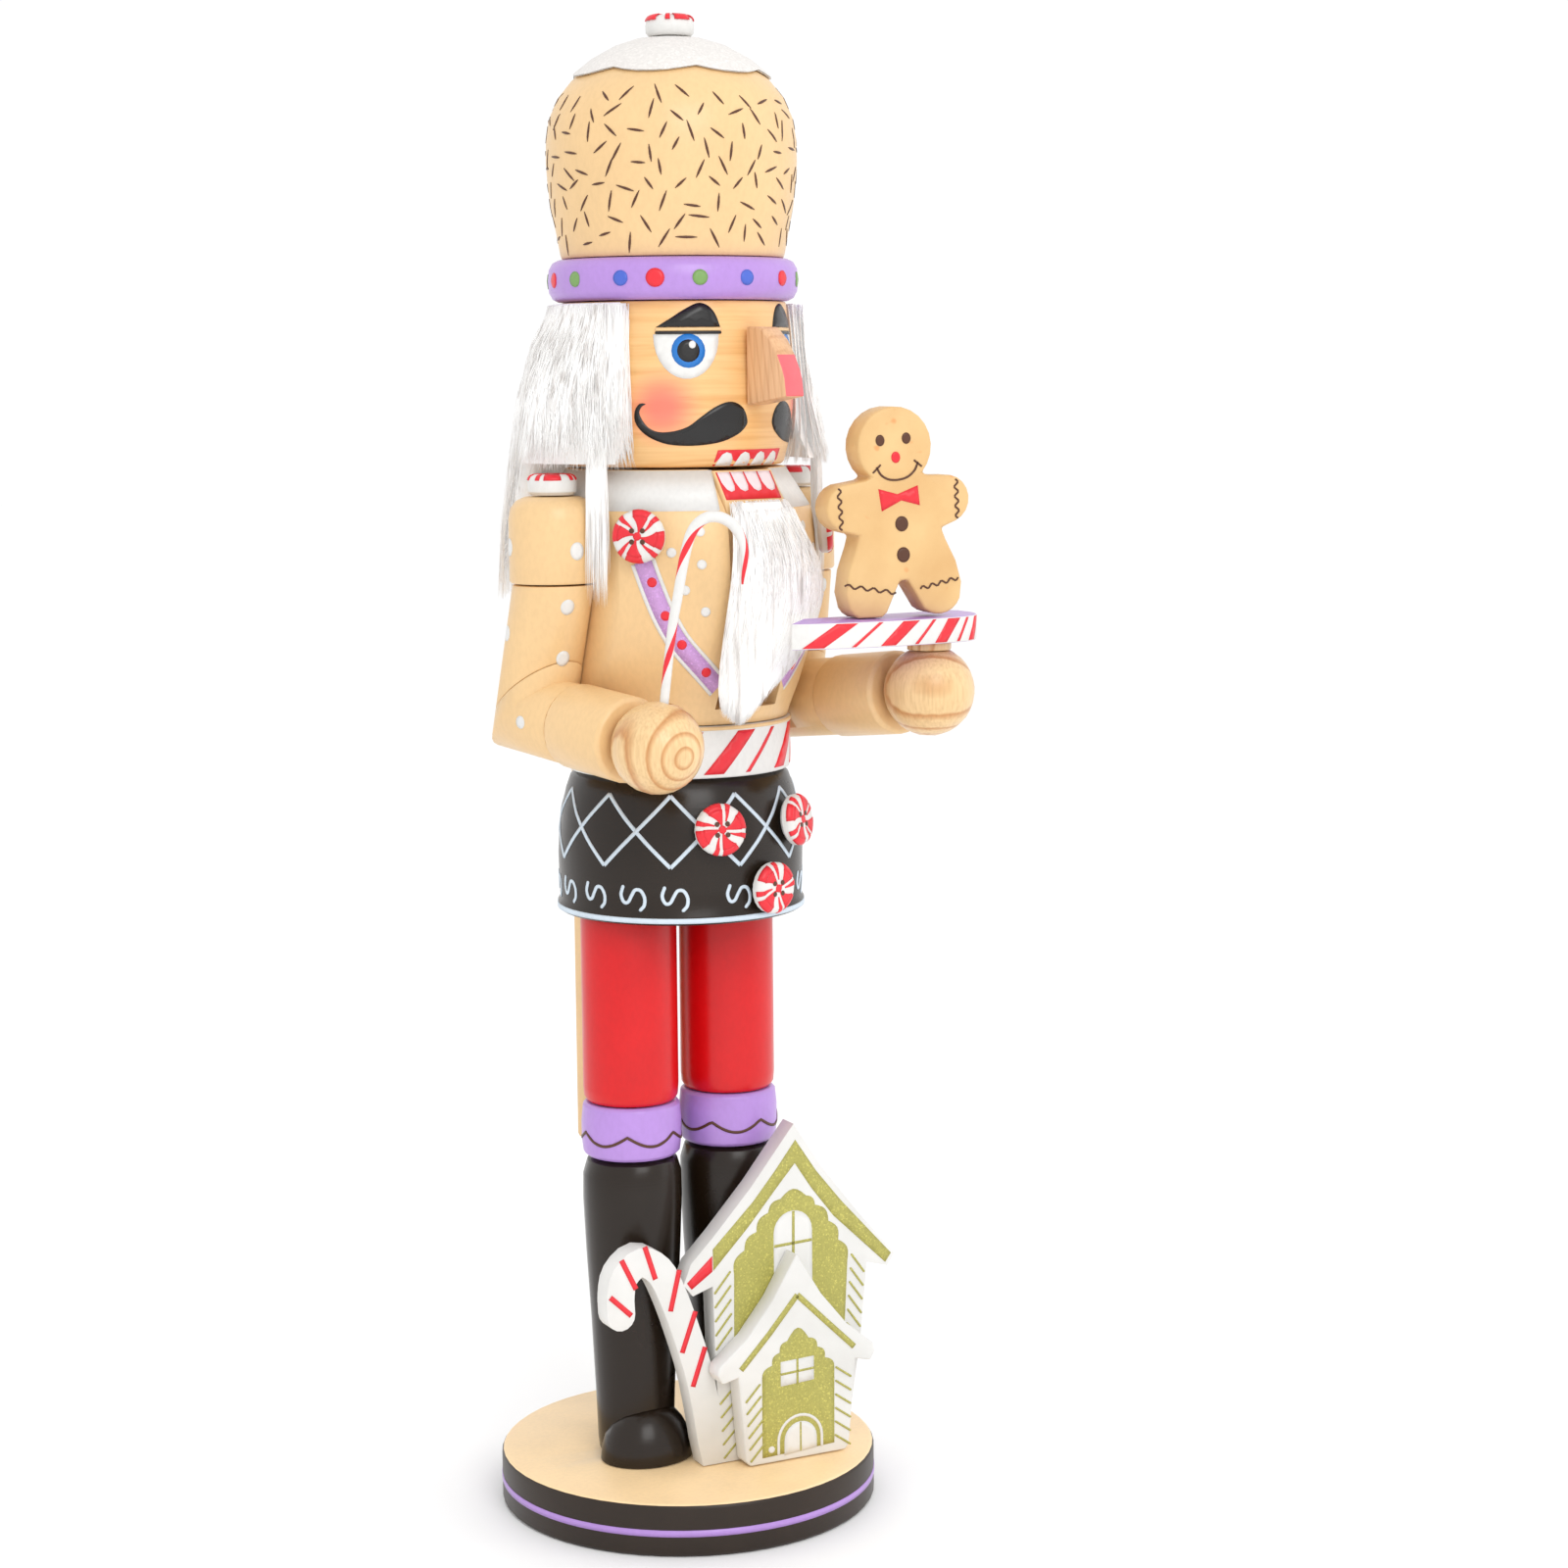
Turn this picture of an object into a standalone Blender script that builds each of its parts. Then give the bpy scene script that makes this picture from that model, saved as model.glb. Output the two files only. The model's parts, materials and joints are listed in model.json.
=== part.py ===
"""Wooden nutcracker figure on a round base, built piece by piece.

Millimetres throughout, converted to metres when a mesh is made.  The figure's
front faces -Y, its right hand is on the -X side, +Z is up, and the origin is
the centre of the base's underside.
"""

import math

import bmesh
import bpy
from mathutils import Matrix, Vector

MM = 0.001
GAP = 0.3               # joint line between glued pieces

# Heights of the stack, bottom to top
BASE_TOP = 13.7
CUFF_BOTTOM = 93.5
CUFF_TOP = 107.7
SKIRT_BOTTOM = 156.7
BELT_BOTTOM = 193.0
TORSO_BOTTOM = 206.3
SLOT_FLOOR = 210.3
TORSO_TOP = 269.3
HEAD_TOP = 310.3
BRIM_TOP = 320.9
CROWN_TOP = 374.4

# Base and legs
BASE_RADIUS = 49.0
LEG_SPREAD = 14.5       # leg axis from the middle
LEG_YAW = -7.0          # feet turned a little from the body
LEG_SHIFT = (-0.8, 0.6)   # legs stand a little off the middle
LEG_RADIUS = 12.3
LEG_TENON = 3.5

# Torso and jaw
SLOT_HALF = 9.5
LEVER_HALF = 9.1
PIVOT_Z = 232.0
PIN_RADIUS = 2.5
PIN_BORE = 2.58
FLAT_X = 31.0           # flats where the arms are glued on
HANDLE_FRONT = 29.2
HANDLE_BACK = 35.2
HANDLE_BOTTOM = 90.5

# Arms
ARM_X = 38.1
ARM_RADIUS = 10.1
CAP_RADIUS = 10.9
SLEEVE_RADIUS = 10.6
HAND_RADIUS = 11.2

# Buttons
BUTTON_RADIUS = 6.5
BUTTON_THICK = 3.6
SMALL_BUTTON_RADIUS = 6.1

# Things carried and things standing on the base
TRAY_BOTTOM = 226.2
TRAY_TOP = 232.6
TRAY_YAW = -12.0
TRAY_CORNER = (-5.0, -51.9)
COOKIE_AT = (28.6, -53.4)
COOKIE_YAW = -19.0
COOKIE_THICK = 9.4
COOKIE_LEAN = 4.0       # it stands leaning a little to its own right
HOUSE_YAW = -12.0
HOUSE_AT = (12.1, -31.2)
BOARD_THICK = 6.0
STAFF_RADIUS = 1.4

TAN = (0.84, 0.61, 0.32)
DARK = (0.035, 0.024, 0.017)
RED = (0.68, 0.012, 0.02)
PURPLE = (0.57, 0.36, 0.76)
WHITE = (0.86, 0.86, 0.85)
PINE = (0.86, 0.60, 0.30)
FACE_WOOD = (0.80, 0.46, 0.17)
PINK = (0.80, 0.36, 0.30)
FUR = (0.88, 0.87, 0.86)


def clear_scene():
    for obj in list(bpy.data.objects):
        bpy.data.objects.remove(obj, do_unlink=True)


def material(name, colour, roughness, metallic=0.0):
    made = bpy.data.materials.new(name)
    made.use_nodes = True
    shader = made.node_tree.nodes["Principled BSDF"]
    shader.inputs["Base Color"].default_value = (*colour, 1.0)
    shader.inputs["Roughness"].default_value = roughness
    shader.inputs["Metallic"].default_value = metallic
    made.diffuse_color = (*colour, 1.0)
    return made


def add_object(name, verts, faces, colour=None, roughness=0.4):
    """One closed body from points in millimetres, with faces turned outward."""
    mesh = bpy.data.meshes.new(name)
    mesh.from_pydata([Vector(v) * MM for v in verts], [], faces)
    work = bmesh.new()
    work.from_mesh(mesh)
    bmesh.ops.recalc_face_normals(work, faces=work.faces)
    work.to_mesh(mesh)
    work.free()
    mesh.shade_smooth()
    mesh.set_sharp_from_angle(angle=math.radians(32))
    obj = bpy.data.objects.new(name, mesh)
    bpy.context.scene.collection.objects.link(obj)
    if colour is not None:
        mesh.materials.append(material(name, colour, roughness))
    return obj


def lathe_mesh(profile, segments, place):
    """Points and faces of a turned solid.  The profile runs from axis to axis."""
    verts = []
    rings = []
    for radius, height in profile:
        if radius < 1e-6:
            rings.append([len(verts)])
            verts.append(place @ Vector((0, 0, height)))
            continue
        ring = []
        for k in range(segments):
            turn = 2 * math.pi * k / segments
            ring.append(len(verts))
            point = Vector((radius * math.cos(turn), radius * math.sin(turn), height))
            verts.append(place @ point)
        rings.append(ring)
    faces = []
    for low, high in zip(rings, rings[1:]):
        for k in range(segments):
            n = (k + 1) % segments
            if len(low) == 1 and len(high) > 1:
                faces.append((low[0], high[k], high[n]))
            elif len(high) == 1 and len(low) > 1:
                faces.append((low[k], low[n], high[0]))
            elif len(low) > 1:
                faces.append((low[k], low[n], high[n], high[k]))
    return verts, faces


def turned(name, profile, colour=None, roughness=0.4, segments=48, place=None):
    place = place or Matrix.Identity(4)
    verts, faces = lathe_mesh(profile, segments, place)
    return add_object(name, verts, faces, colour, roughness)


def along(start, end):
    """A frame at start whose +Z points to end."""
    start = Vector(start)
    turn = (Vector(end) - start).to_track_quat("Z", "Y").to_matrix().to_4x4()
    return Matrix.Translation(start) @ turn


def spin(degrees, at=(0, 0, 0)):
    return Matrix.Translation(Vector(at)) @ Matrix.Rotation(math.radians(degrees), 4, "Z")


def plate(name, outline, low, high, place, colour=None, roughness=0.4):
    """A flat board: outline in (u, v), thick from low to high along w.

    place maps (u, w, v), so an upright board has u across, w back and v up.
    """
    count = len(outline)
    verts = [place @ Vector((u, low, v)) for u, v in outline]
    verts += [place @ Vector((u, high, v)) for u, v in outline]
    faces = [tuple(range(count)), tuple(range(2 * count - 1, count - 1, -1))]
    for k in range(count):
        n = (k + 1) % count
        faces.append((k, n, count + n, count + k))
    return add_object(name, verts, faces, colour, roughness)


def slab(name, outline, low, high, place, colour=None, roughness=0.4):
    """A flat plate lying level: outline in (x, y), thick from z low to z high."""
    count = len(outline)
    verts = [place @ Vector((x, y, low)) for x, y in outline]
    verts += [place @ Vector((x, y, high)) for x, y in outline]
    faces = [tuple(range(count)), tuple(range(2 * count - 1, count - 1, -1))]
    for k in range(count):
        n = (k + 1) % count
        faces.append((k, n, count + n, count + k))
    return add_object(name, verts, faces, colour, roughness)


def box(name, low, high):
    corners = [(low[0], low[1]), (high[0], low[1]), (high[0], high[1]), (low[0], high[1])]
    return slab(name, corners, low[2], high[2], Matrix.Identity(4))


def shape_with(obj, tool, operation):
    """Cuts tool from obj, or joins it on, and hides the tool."""
    tool.hide_render = True
    tool.display_type = "WIRE"
    step = obj.modifiers.new(tool.name, "BOOLEAN")
    step.operation = operation
    step.solver = "EXACT"
    step.object = tool


def arc(centre, radius, start, end, steps):
    points = []
    for k in range(steps + 1):
        turn = math.radians(start + (end - start) * k / steps)
        points.append(
            (centre[0] + radius * math.cos(turn), centre[1] + radius * math.sin(turn))
        )
    return points


def smooth_path(points, steps):
    """A Catmull-Rom curve through the points."""
    ends = [Vector(p) for p in points]
    ends = [2 * ends[0] - ends[1]] + ends + [2 * ends[-1] - ends[-2]]
    path = []
    for k in range(1, len(ends) - 2):
        a, b, c, d = ends[k - 1], ends[k], ends[k + 1], ends[k + 2]
        for j in range(steps):
            t = j / steps
            path.append(
                0.5 * (2 * b + (c - a) * t + (2 * a - 5 * b + 4 * c - d) * t * t
                       + (3 * b - a - 3 * c + d) * t ** 3)
            )
    path.append(ends[-2])
    return path


def ribbon(path, half):
    """Outline of a band round a flat path, round at its first end."""
    left = []
    right = []
    for k, point in enumerate(path):
        before = path[max(k - 1, 0)]
        after = path[min(k + 1, len(path) - 1)]
        way = (after - before).normalized()
        side = Vector((-way.y, way.x))
        left.append(point + half * side)
        right.append(point - half * side)
    way = (path[1] - path[0]).normalized()
    back = math.degrees(math.atan2(way.y, way.x))
    cap = arc(path[0], half, back + 90, back + 270, 8)
    return [tuple(p) for p in cap[1:-1]] + [tuple(p) for p in right] + [
        tuple(p) for p in reversed(left)
    ]


def cut_rod(name, path, radius, normals, colour, segments=28):
    """A round rod along a path in a plane of constant x, cut by a plane at each point."""
    across = Vector((1, 0, 0))
    verts = []
    for k, (point, normal) in enumerate(zip(path, normals)):
        other = path[k - 1] if k else path[1]
        way = (point - other if k else other - point).normalized()
        up = way.cross(across)
        for j in range(segments):
            turn = 2 * math.pi * (j + 0.5) / segments
            offset = radius * (math.cos(turn) * across + math.sin(turn) * up)
            slide = -offset.dot(normal) / way.dot(normal)
            verts.append(point + offset + slide * way)
    faces = [tuple(range(segments))]
    last = (len(path) - 1) * segments
    faces.append(tuple(range(last + segments - 1, last - 1, -1)))
    for k in range(len(path) - 1):
        for j in range(segments):
            n = (j + 1) % segments
            low = k * segments
            faces.append((low + j, low + n, low + segments + n, low + segments + j))
    return add_object(name, verts, faces, colour)


def leg_place(side):
    """side is -1 for the figure's right, 1 for its left."""
    return spin(LEG_YAW, (*LEG_SHIFT, 0)) @ Matrix.Translation((side * LEG_SPREAD, 0, 0))


def make_base():
    base = turned(
        "base_disc",
        [(0, 0), (48.0, 0), (48.7, 0.3), (49.0, 1.0), (BASE_RADIUS, 12.6), (48.7, 13.4),
         (48.0, BASE_TOP), (0, BASE_TOP)],
        TAN, 0.4, 56,
    )
    for side, word in ((-1, "right"), (1, "left")):
        hole = turned(
            f"cut_base_socket_{word}",
            [(0, 6.0), (LEG_TENON + GAP, 6.0), (LEG_TENON + GAP, 20.0), (0, 20.0)],
            segments=24, place=leg_place(side),
        )
        shape_with(base, hole, "DIFFERENCE")


def make_leg(side, word):
    place = leg_place(side)
    low = BASE_TOP + GAP
    turned(
        f"boot_{word}",
        [(0, 6.6), (LEG_TENON, 6.6), (LEG_TENON, low), (8.6, low), (9.6, 15.2), (9.9, 18.0),
         (10.3, 30.0), (11.2, 50.0), (12.2, 68.0), (12.8, 82.0), (12.7, 88.5), (11.6, 92.2),
         (9.6, 93.2), (8.0, 93.2), (8.0, 112.0), (0, 112.0)],
        DARK, 0.35, 28, place,
    )
    turned(
        f"cuff_{word}",
        [(8.3, CUFF_BOTTOM), (11.6, CUFF_BOTTOM), (12.5, 94.4), (12.9, 98.0), (12.9, 102.5),
         (12.5, 106.6), (11.7, 107.4), (8.3, 107.4), (8.3, CUFF_BOTTOM)],
        PURPLE, 0.4, 28, place,
    )
    turned(
        f"trouser_{word}",
        [(0, 112.3), (8.3, 112.3), (8.3, 107.7), (11.3, 107.7), (12.1, 109.0), (LEG_RADIUS, 111.5),
         (LEG_RADIUS, 155.2), (11.9, 156.4), (LEG_TENON, 156.4), (LEG_TENON, 166.0), (0, 166.0)],
        RED, 0.35, 28, place,
    )
    make_shoe(side, word)


def make_shoe(side, word):
    """A half dome in front of the boot, hollowed to the boot's round front."""
    rows = 7
    shoe_place = leg_place(side) @ Matrix.Translation((0, -5.6, BASE_TOP + GAP))
    profile = [(0, 0)]
    for k in range(rows + 1):
        turn = 0.5 * math.pi * k / rows
        profile.append((math.cos(turn) if k < rows else 0.0, math.sin(turn)))
    scaled = shoe_place @ Matrix.Diagonal((12.4, 10.6, 15.0, 1))
    shoe = turned(f"shoe_{word}", profile, DARK, 0.3, 32, scaled)
    clear = turned(
        f"cut_shoe_{word}",
        [(0, 5), (10.0, 5), (10.2, 16.0), (10.6, 28), (11.2, 44), (0, 44)],
        segments=28, place=leg_place(side),
    )
    shape_with(shoe, clear, "DIFFERENCE")
    behind = box(f"cut_shoe_back_{word}", (-20, 0, 5), (20, 30, 44))
    behind.matrix_world = leg_place_m(side)
    shape_with(shoe, behind, "DIFFERENCE")


def leg_place_m(side):
    """leg_place in metres, for an object's own matrix."""
    place = leg_place(side).copy()
    place.translation = place.translation * MM
    return place


def make_skirt():
    skirt = turned(
        "skirt",
        [(0, SKIRT_BOTTOM), (31.0, SKIRT_BOTTOM), (31.7, 157.4), (31.7, 159.0), (31.1, 160.0),
         (31.3, 166.0), (31.4, 171.0), (31.1, 177.0), (30.3, 183.0), (29.1, 188.0),
         (27.9, 191.4), (26.6, 192.7), (8.3, 192.7), (8.3, 186.0), (0, 186.0)],
        DARK, 0.3, 48,
    )
    for side, word in ((-1, "right"), (1, "left")):
        hole = turned(
            f"cut_skirt_socket_{word}",
            [(0, 150.0), (LEG_TENON + GAP, 150.0), (LEG_TENON + GAP, 166.6), (0, 166.6)],
            segments=24, place=leg_place(side),
        )
        shape_with(skirt, hole, "DIFFERENCE")
    groove = box(
        "cut_skirt_groove", (-SLOT_HALF - 0.2, HANDLE_FRONT - 0.5, 150), (SLOT_HALF + 0.2, 40, 200)
    )
    shape_with(skirt, groove, "DIFFERENCE")


def make_belt():
    turned(
        "belt",
        [(0, 186.4), (8.0, 186.4), (8.0, BELT_BOTTOM), (28.1, BELT_BOTTOM), (28.4, 193.6),
         (28.4, 204.6), (28.7, 205.2), (28.5, 206.0), (6.3, 206.0), (6.3, 199.0), (0, 199.0)],
        WHITE, 0.4, 48,
    )


def make_torso():
    torso = turned(
        "torso",
        [(0, 199.4), (6.0, 199.4), (6.0, TORSO_BOTTOM), (27.8, TORSO_BOTTOM), (28.5, 208.5),
         (31.0, 215.0), (33.3, 222.5), (34.8, 230.0), (35.5, 238.0), (35.6, 246.0),
         (35.2, 253.0), (34.4, 258.6), (33.7, 259.8), (27.7, TORSO_TOP), (0, TORSO_TOP)],
        TAN, 0.42, 48,
    )
    slot = box("cut_torso_slot", (-SLOT_HALF, -50, SLOT_FLOOR), (SLOT_HALF, 50, 290))
    shape_with(torso, slot, "DIFFERENCE")
    for side, word in ((-1, "right"), (1, "left")):
        near, far = sorted((side * FLAT_X, side * 60))
        flat = box(f"cut_torso_flat_{word}", (near, -40, 190), (far, 40, 290))
        shape_with(torso, flat, "DIFFERENCE")
        peg = turned(
            f"cut_torso_neck_{word}",
            [(0, 260.5), (2.8, 260.5), (2.8, 280), (0, 280)],
            segments=20, place=Matrix.Translation((side * 18.0, 0, 0)),
        )
        shape_with(torso, peg, "DIFFERENCE")
    bore = turned(
        "cut_torso_pin_bore", [(0, -45), (PIN_BORE, -45), (PIN_BORE, 45), (0, 45)],
        segments=48, place=along((0, 0, PIVOT_Z), (10, 0, PIVOT_Z)),
    )
    shape_with(torso, bore, "DIFFERENCE")
    shoulder = turned(
        "cut_torso_shoulder_bore", [(0, -45), (2.8, -45), (2.8, 45), (0, 45)],
        segments=20, place=along((0, 0, 251), (10, 0, 251)),
    )
    keep = box("cut_shoulder_middle", (-24.0, -5, 245), (24.0, 5, 257))
    shape_with(shoulder, keep, "DIFFERENCE")
    shape_with(torso, shoulder, "DIFFERENCE")


def make_head():
    head = turned(
        "head",
        [(0, 269.9), (26.8, 269.9), (27.6, 270.8), (28.6, 275.0), (29.5, 280.0), (29.9, 285.0),
         (29.8, 291.0), (29.3, 299.0), (28.7, 306.0), (28.3, HEAD_TOP), (10.0, HEAD_TOP),
         (10.0, 316.0), (0, 316.0)],
        FACE_WOOD, 0.3, 48,
    )
    for side, word in ((-1, "right"), (1, "left")):
        hole = turned(
            f"cut_head_neck_{word}", [(0, 260), (2.8, 260), (2.8, 278.4), (0, 278.4)],
            segments=20, place=Matrix.Translation((side * 18.0, 0, 0)),
        )
        shape_with(head, hole, "DIFFERENCE")
        turned(
            f"neck_dowel_{word}", [(0, 261), (2.5, 261), (2.5, 278), (0, 278)],
            PINE, 0.6, 20, Matrix.Translation((side * 18.0, 0, 0)),
        )
    # The nose is a block with a bowed front, deepest at its lower tip, and a sloping underside.
    wedge = [(-30.35, 303.9), (-35.4, 303.8), (-38.9, 300.8), (-41.4, 297.1), (-43.1, 293.8),
             (-44.0, 291.3), (-44.6, 286.9), (-30.35, 284.8)]
    place = spin(4.0) @ Matrix(((0, 1, 0, 0), (1, 0, 0, 0), (0, 0, 1, 0), (0, 0, 0, 1)))
    plate("nose", wedge, -3.1, 3.1, place, PINK, 0.35)


def make_hat():
    turned(
        "hat_brim",
        [(0, 316.4), (10.3, 316.4), (10.3, 310.6), (28.9, 310.6), (30.3, 311.3), (31.2, 313.0),
         (31.5, 315.8), (31.2, 318.6), (30.3, 320.2), (28.9, BRIM_TOP), (9.7, BRIM_TOP),
         (9.7, 327.0), (0, 327.0)],
        PURPLE, 0.35, 48,
    )
    turned(
        "hat_crown",
        [(0, 327.4), (10.0, 327.4), (10.0, 321.2), (27.8, 321.2), (28.2, 322.4), (29.2, 328.0),
         (30.4, 334.0), (31.1, 340.0), (31.4, 345.0), (31.3, 350.0), (30.5, 355.5),
         (28.3, 360.5), (24.8, 364.8), (20.0, 368.8), (14.0, 372.2), (8.5, 374.0),
         (5.0, CROWN_TOP), (0, CROWN_TOP)],
        TAN, 0.42, 48,
    )
    make_icing()
    turned(
        "hat_button",
        [(0, 375.8), (5.3, 375.8), (6.0, 376.6), (6.1, 378.4), (5.7, 380.0), (4.4, 380.8),
         (0, 381.0)],
        WHITE, 0.3, 28,
    )


def crown_line(u):
    """Radius and height of the crown's dome, from its top (u = 0) downwards."""
    points = [(0, 374.4), (5.0, 374.4), (8.5, 374.0), (14.0, 372.2), (20.0, 368.8),
              (24.8, 364.8), (28.3, 360.5), (30.5, 355.5)]
    spot = u * (len(points) - 1)
    k = min(int(spot), len(points) - 2)
    part = spot - k
    low, high = points[k], points[k + 1]
    return low[0] + (high[0] - low[0]) * part, low[1] + (high[1] - low[1]) * part


def make_icing():
    """A thin cap of icing over the dome, with a scalloped edge."""
    columns = 42
    rows = 5
    verts = [(0, 0, 374.4 + 1.1), (0, 0, 374.4 + GAP)]
    for k in range(columns):
        turn = 2 * math.pi * k / columns
        reach = 0.655 + 0.055 * abs(math.sin(3.5 * turn + 0.6)) ** 0.7
        for lift in (1.1, GAP):
            for j in range(1, rows + 1):
                u = reach * j / rows
                radius, height = crown_line(u)
                ahead = crown_line(u + 0.02)
                slope = Vector((ahead[0] - radius, ahead[1] - height)).normalized()
                radius -= slope.y * lift
                height += slope.x * lift
                verts.append((radius * math.cos(turn), radius * math.sin(turn), height))
    faces = []
    step = 2 * rows
    for k in range(columns):
        n = (k + 1) % columns
        for side in (0, 1):
            here = 2 + k * step + side * rows
            there = 2 + n * step + side * rows
            faces.append((side, here, there))
            for j in range(rows - 1):
                faces.append((here + j, here + j + 1, there + j + 1, there + j))
        out_here = 2 + k * step + rows - 1
        out_there = 2 + n * step + rows - 1
        faces.append((out_here, out_here + rows, out_there + rows, out_there))
    add_object("hat_icing", verts, faces, WHITE, 0.6)


def make_lever():
    outline = [(-27.3, 269.0), (-31.9, 261.9), (-33.0, 258.0), (-31.5, 253.5), (-24.0, 244.0),
               (-8.0, 226.0), (6.0, 218.5), (HANDLE_FRONT, 213.5), (HANDLE_FRONT, 91.3),
               (HANDLE_FRONT + 0.8, HANDLE_BOTTOM), (HANDLE_BACK - 0.8, HANDLE_BOTTOM),
               (HANDLE_BACK, 91.3), (HANDLE_BACK, 236.0), (31.0, 246.0), (16.0, 258.0),
               (-6.0, 269.0)]
    place = Matrix(((0, 1, 0, 0), (1, 0, 0, 0), (0, 0, 1, 0), (0, 0, 0, 1)))
    lever = plate("jaw_lever", outline, -LEVER_HALF, LEVER_HALF, place, TAN, 0.45)
    bore = turned(
        "cut_lever_bore", [(0, -20), (PIN_BORE, -20), (PIN_BORE, 20), (0, 20)],
        segments=48, place=along((0, 0, PIVOT_Z), (10, 0, PIVOT_Z)),
    )
    shape_with(lever, bore, "DIFFERENCE")
    turned(
        "jaw_pivot_pin", [(0, -30.6), (PIN_RADIUS, -30.6), (PIN_RADIUS, 30.6), (0, 30.6)],
        PINE, 0.5, 48, along((0, 0, PIVOT_Z), (10, 0, PIVOT_Z)),
    )


def hang_on_pivot(names):
    """The jaw's pieces turn about an empty on the pin's axis."""
    pivot = bpy.data.objects.new("jaw_pivot", None)
    pivot.location = (0, 0, PIVOT_Z * MM)
    bpy.context.scene.collection.objects.link(pivot)
    bpy.context.view_layer.update()
    for name in names:
        piece = bpy.data.objects[name]
        piece.parent = pivot
        piece.matrix_parent_inverse = pivot.matrix_world.inverted()


def loft(name, rows, colour, roughness):
    """A closed solid through level rings; each ring is a list of points."""
    count = len(rows[0])
    verts = [p for row in rows for p in row]
    faces = [tuple(range(count))]
    last = (len(rows) - 1) * count
    faces.append(tuple(range(last + count - 1, last - 1, -1)))
    for k in range(len(rows) - 1):
        low = k * count
        for j in range(count):
            n = (j + 1) % count
            faces.append((low + j, low + n, low + count + n, low + count + j))
    return add_object(name, verts, faces, colour, roughness)


def make_beard():
    """Fur hanging from the jaw: flat behind, rounded in front, tapering below."""
    # height, middle x, half width, back y, front y
    levels = [(261.2, 0.0, 7.5, -33.6, -36.0), (258.0, 0.0, 8.6, -35.0, -38.4),
              (252.0, 1.5, 10.5, -36.4, -39.4), (245.0, 3.0, 12.0, -36.4, -39.5),
              (238.0, 3.5, 12.3, -36.4, -39.1), (230.0, 3.5, 12.0, -36.4, -39.1),
              (222.0, 2.0, 10.5, -36.4, -39.4), (215.0, 0.0, 7.5, -36.4, -39.0),
              (209.5, -1.5, 3.5, -36.4, -38.2)]
    rows = []
    steps = 9
    for height, middle, half, back, front in levels:
        row = []
        for k in range(steps + 1):
            turn = math.pi * k / steps
            row.append(
                (middle + half * math.cos(turn), back - (back - front) * math.sin(turn) ** 0.7,
                 height)
            )
        rows.append(row)
    loft("beard", rows, FUR, 0.9)


def hair_radius(height, outer):
    if outer:
        table = [(310.0, 32.0), (300.0, 36.0), (287.0, 40.0), (270.0, 42.5), (255.0, 44.5),
                 (237.0, 45.5)]
    else:
        table = [(310.0, 30.6), (280.0, 30.8), (267.0, 36.4), (237.0, 37.3)]
    for (high, first), (low, second) in zip(table, table[1:]):
        if height >= low:
            return first + (second - first) * (high - height) / (high - low)
    return table[-1][1]


def make_hair():
    """A horseshoe of fur round the back and sides, long behind the shoulders."""
    columns = 24
    rows = 6
    first = 62.0
    grids = [[], []]
    for k in range(columns + 1):
        angle = first + (360 - 2 * first) * k / columns
        away = abs(angle - 180)
        drop = min(max((68 - away) / 14, 0), 1)
        bottom = 271.0 - 33.5 * drop * drop * (3 - 2 * drop)
        top = 310.0
        turn = math.radians(angle)
        for side in (0, 1):
            column = []
            for j in range(rows + 1):
                height = top - (top - bottom) * j / rows
                radius = hair_radius(height, side == 1)
                if side == 1:
                    ends = min(k, columns - k) / 2.4
                    radius = min(radius, hair_radius(height, False) + 1.4 + 6 * min(ends, 1.5))
                column.append((radius * math.sin(turn), -radius * math.cos(turn), height))
            grids[side].append(column)
    verts = []
    index = {}
    for side in (0, 1):
        for k in range(columns + 1):
            for j in range(rows + 1):
                index[side, k, j] = len(verts)
                verts.append(grids[side][k][j])
    faces = []
    for k in range(columns):
        for j in range(rows):
            for side in (0, 1):
                faces.append((index[side, k, j], index[side, k + 1, j],
                              index[side, k + 1, j + 1], index[side, k, j + 1]))
        for j in (0, rows):
            faces.append((index[0, k, j], index[0, k + 1, j], index[1, k + 1, j], index[1, k, j]))
    for j in range(rows):
        for k in (0, columns):
            faces.append((index[0, k, j], index[0, k, j + 1], index[1, k, j + 1], index[1, k, j]))
    add_object("hair", verts, faces, FUR, 0.9)


def make_button(name, at, facing, radius=BUTTON_RADIUS, top=BUTTON_THICK, sewn=True):
    """A round sweet-like button whose back lies GAP off the surface at 'at'."""
    facing = Vector(facing).normalized()
    start = Vector(at) + facing * GAP
    place = along(start, start + facing)
    button = turned(
        name,
        [(0, 0), (radius - 0.9, 0), (radius - 0.1, 0.8), (radius, top - 1.4),
         (radius - 0.5, top - 0.5), (radius - 1.5, top), (0, top)],
        WHITE, 0.3, 24, place,
    )
    if not sewn:
        return
    for k in range(4):
        turn = math.radians(45 + 90 * k)
        spot = place @ Vector((1.9 * math.cos(turn), 1.9 * math.sin(turn), top - 1.6))
        hole = turned(
            f"cut_{name}_{k}", [(0, 0), (0.55, 0), (0.55, 6), (0, 6)], segments=6,
            place=along(spot, spot + facing),
        )
        shape_with(button, hole, "DIFFERENCE")


def wall_point(azimuth, radius, height):
    """A point on a turned wall; azimuth 0 is the front, positive to the figure's left."""
    turn = math.radians(azimuth)
    facing = Vector((math.sin(turn), -math.cos(turn), 0))
    return facing * radius + Vector((0, 0, height)), facing


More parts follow.
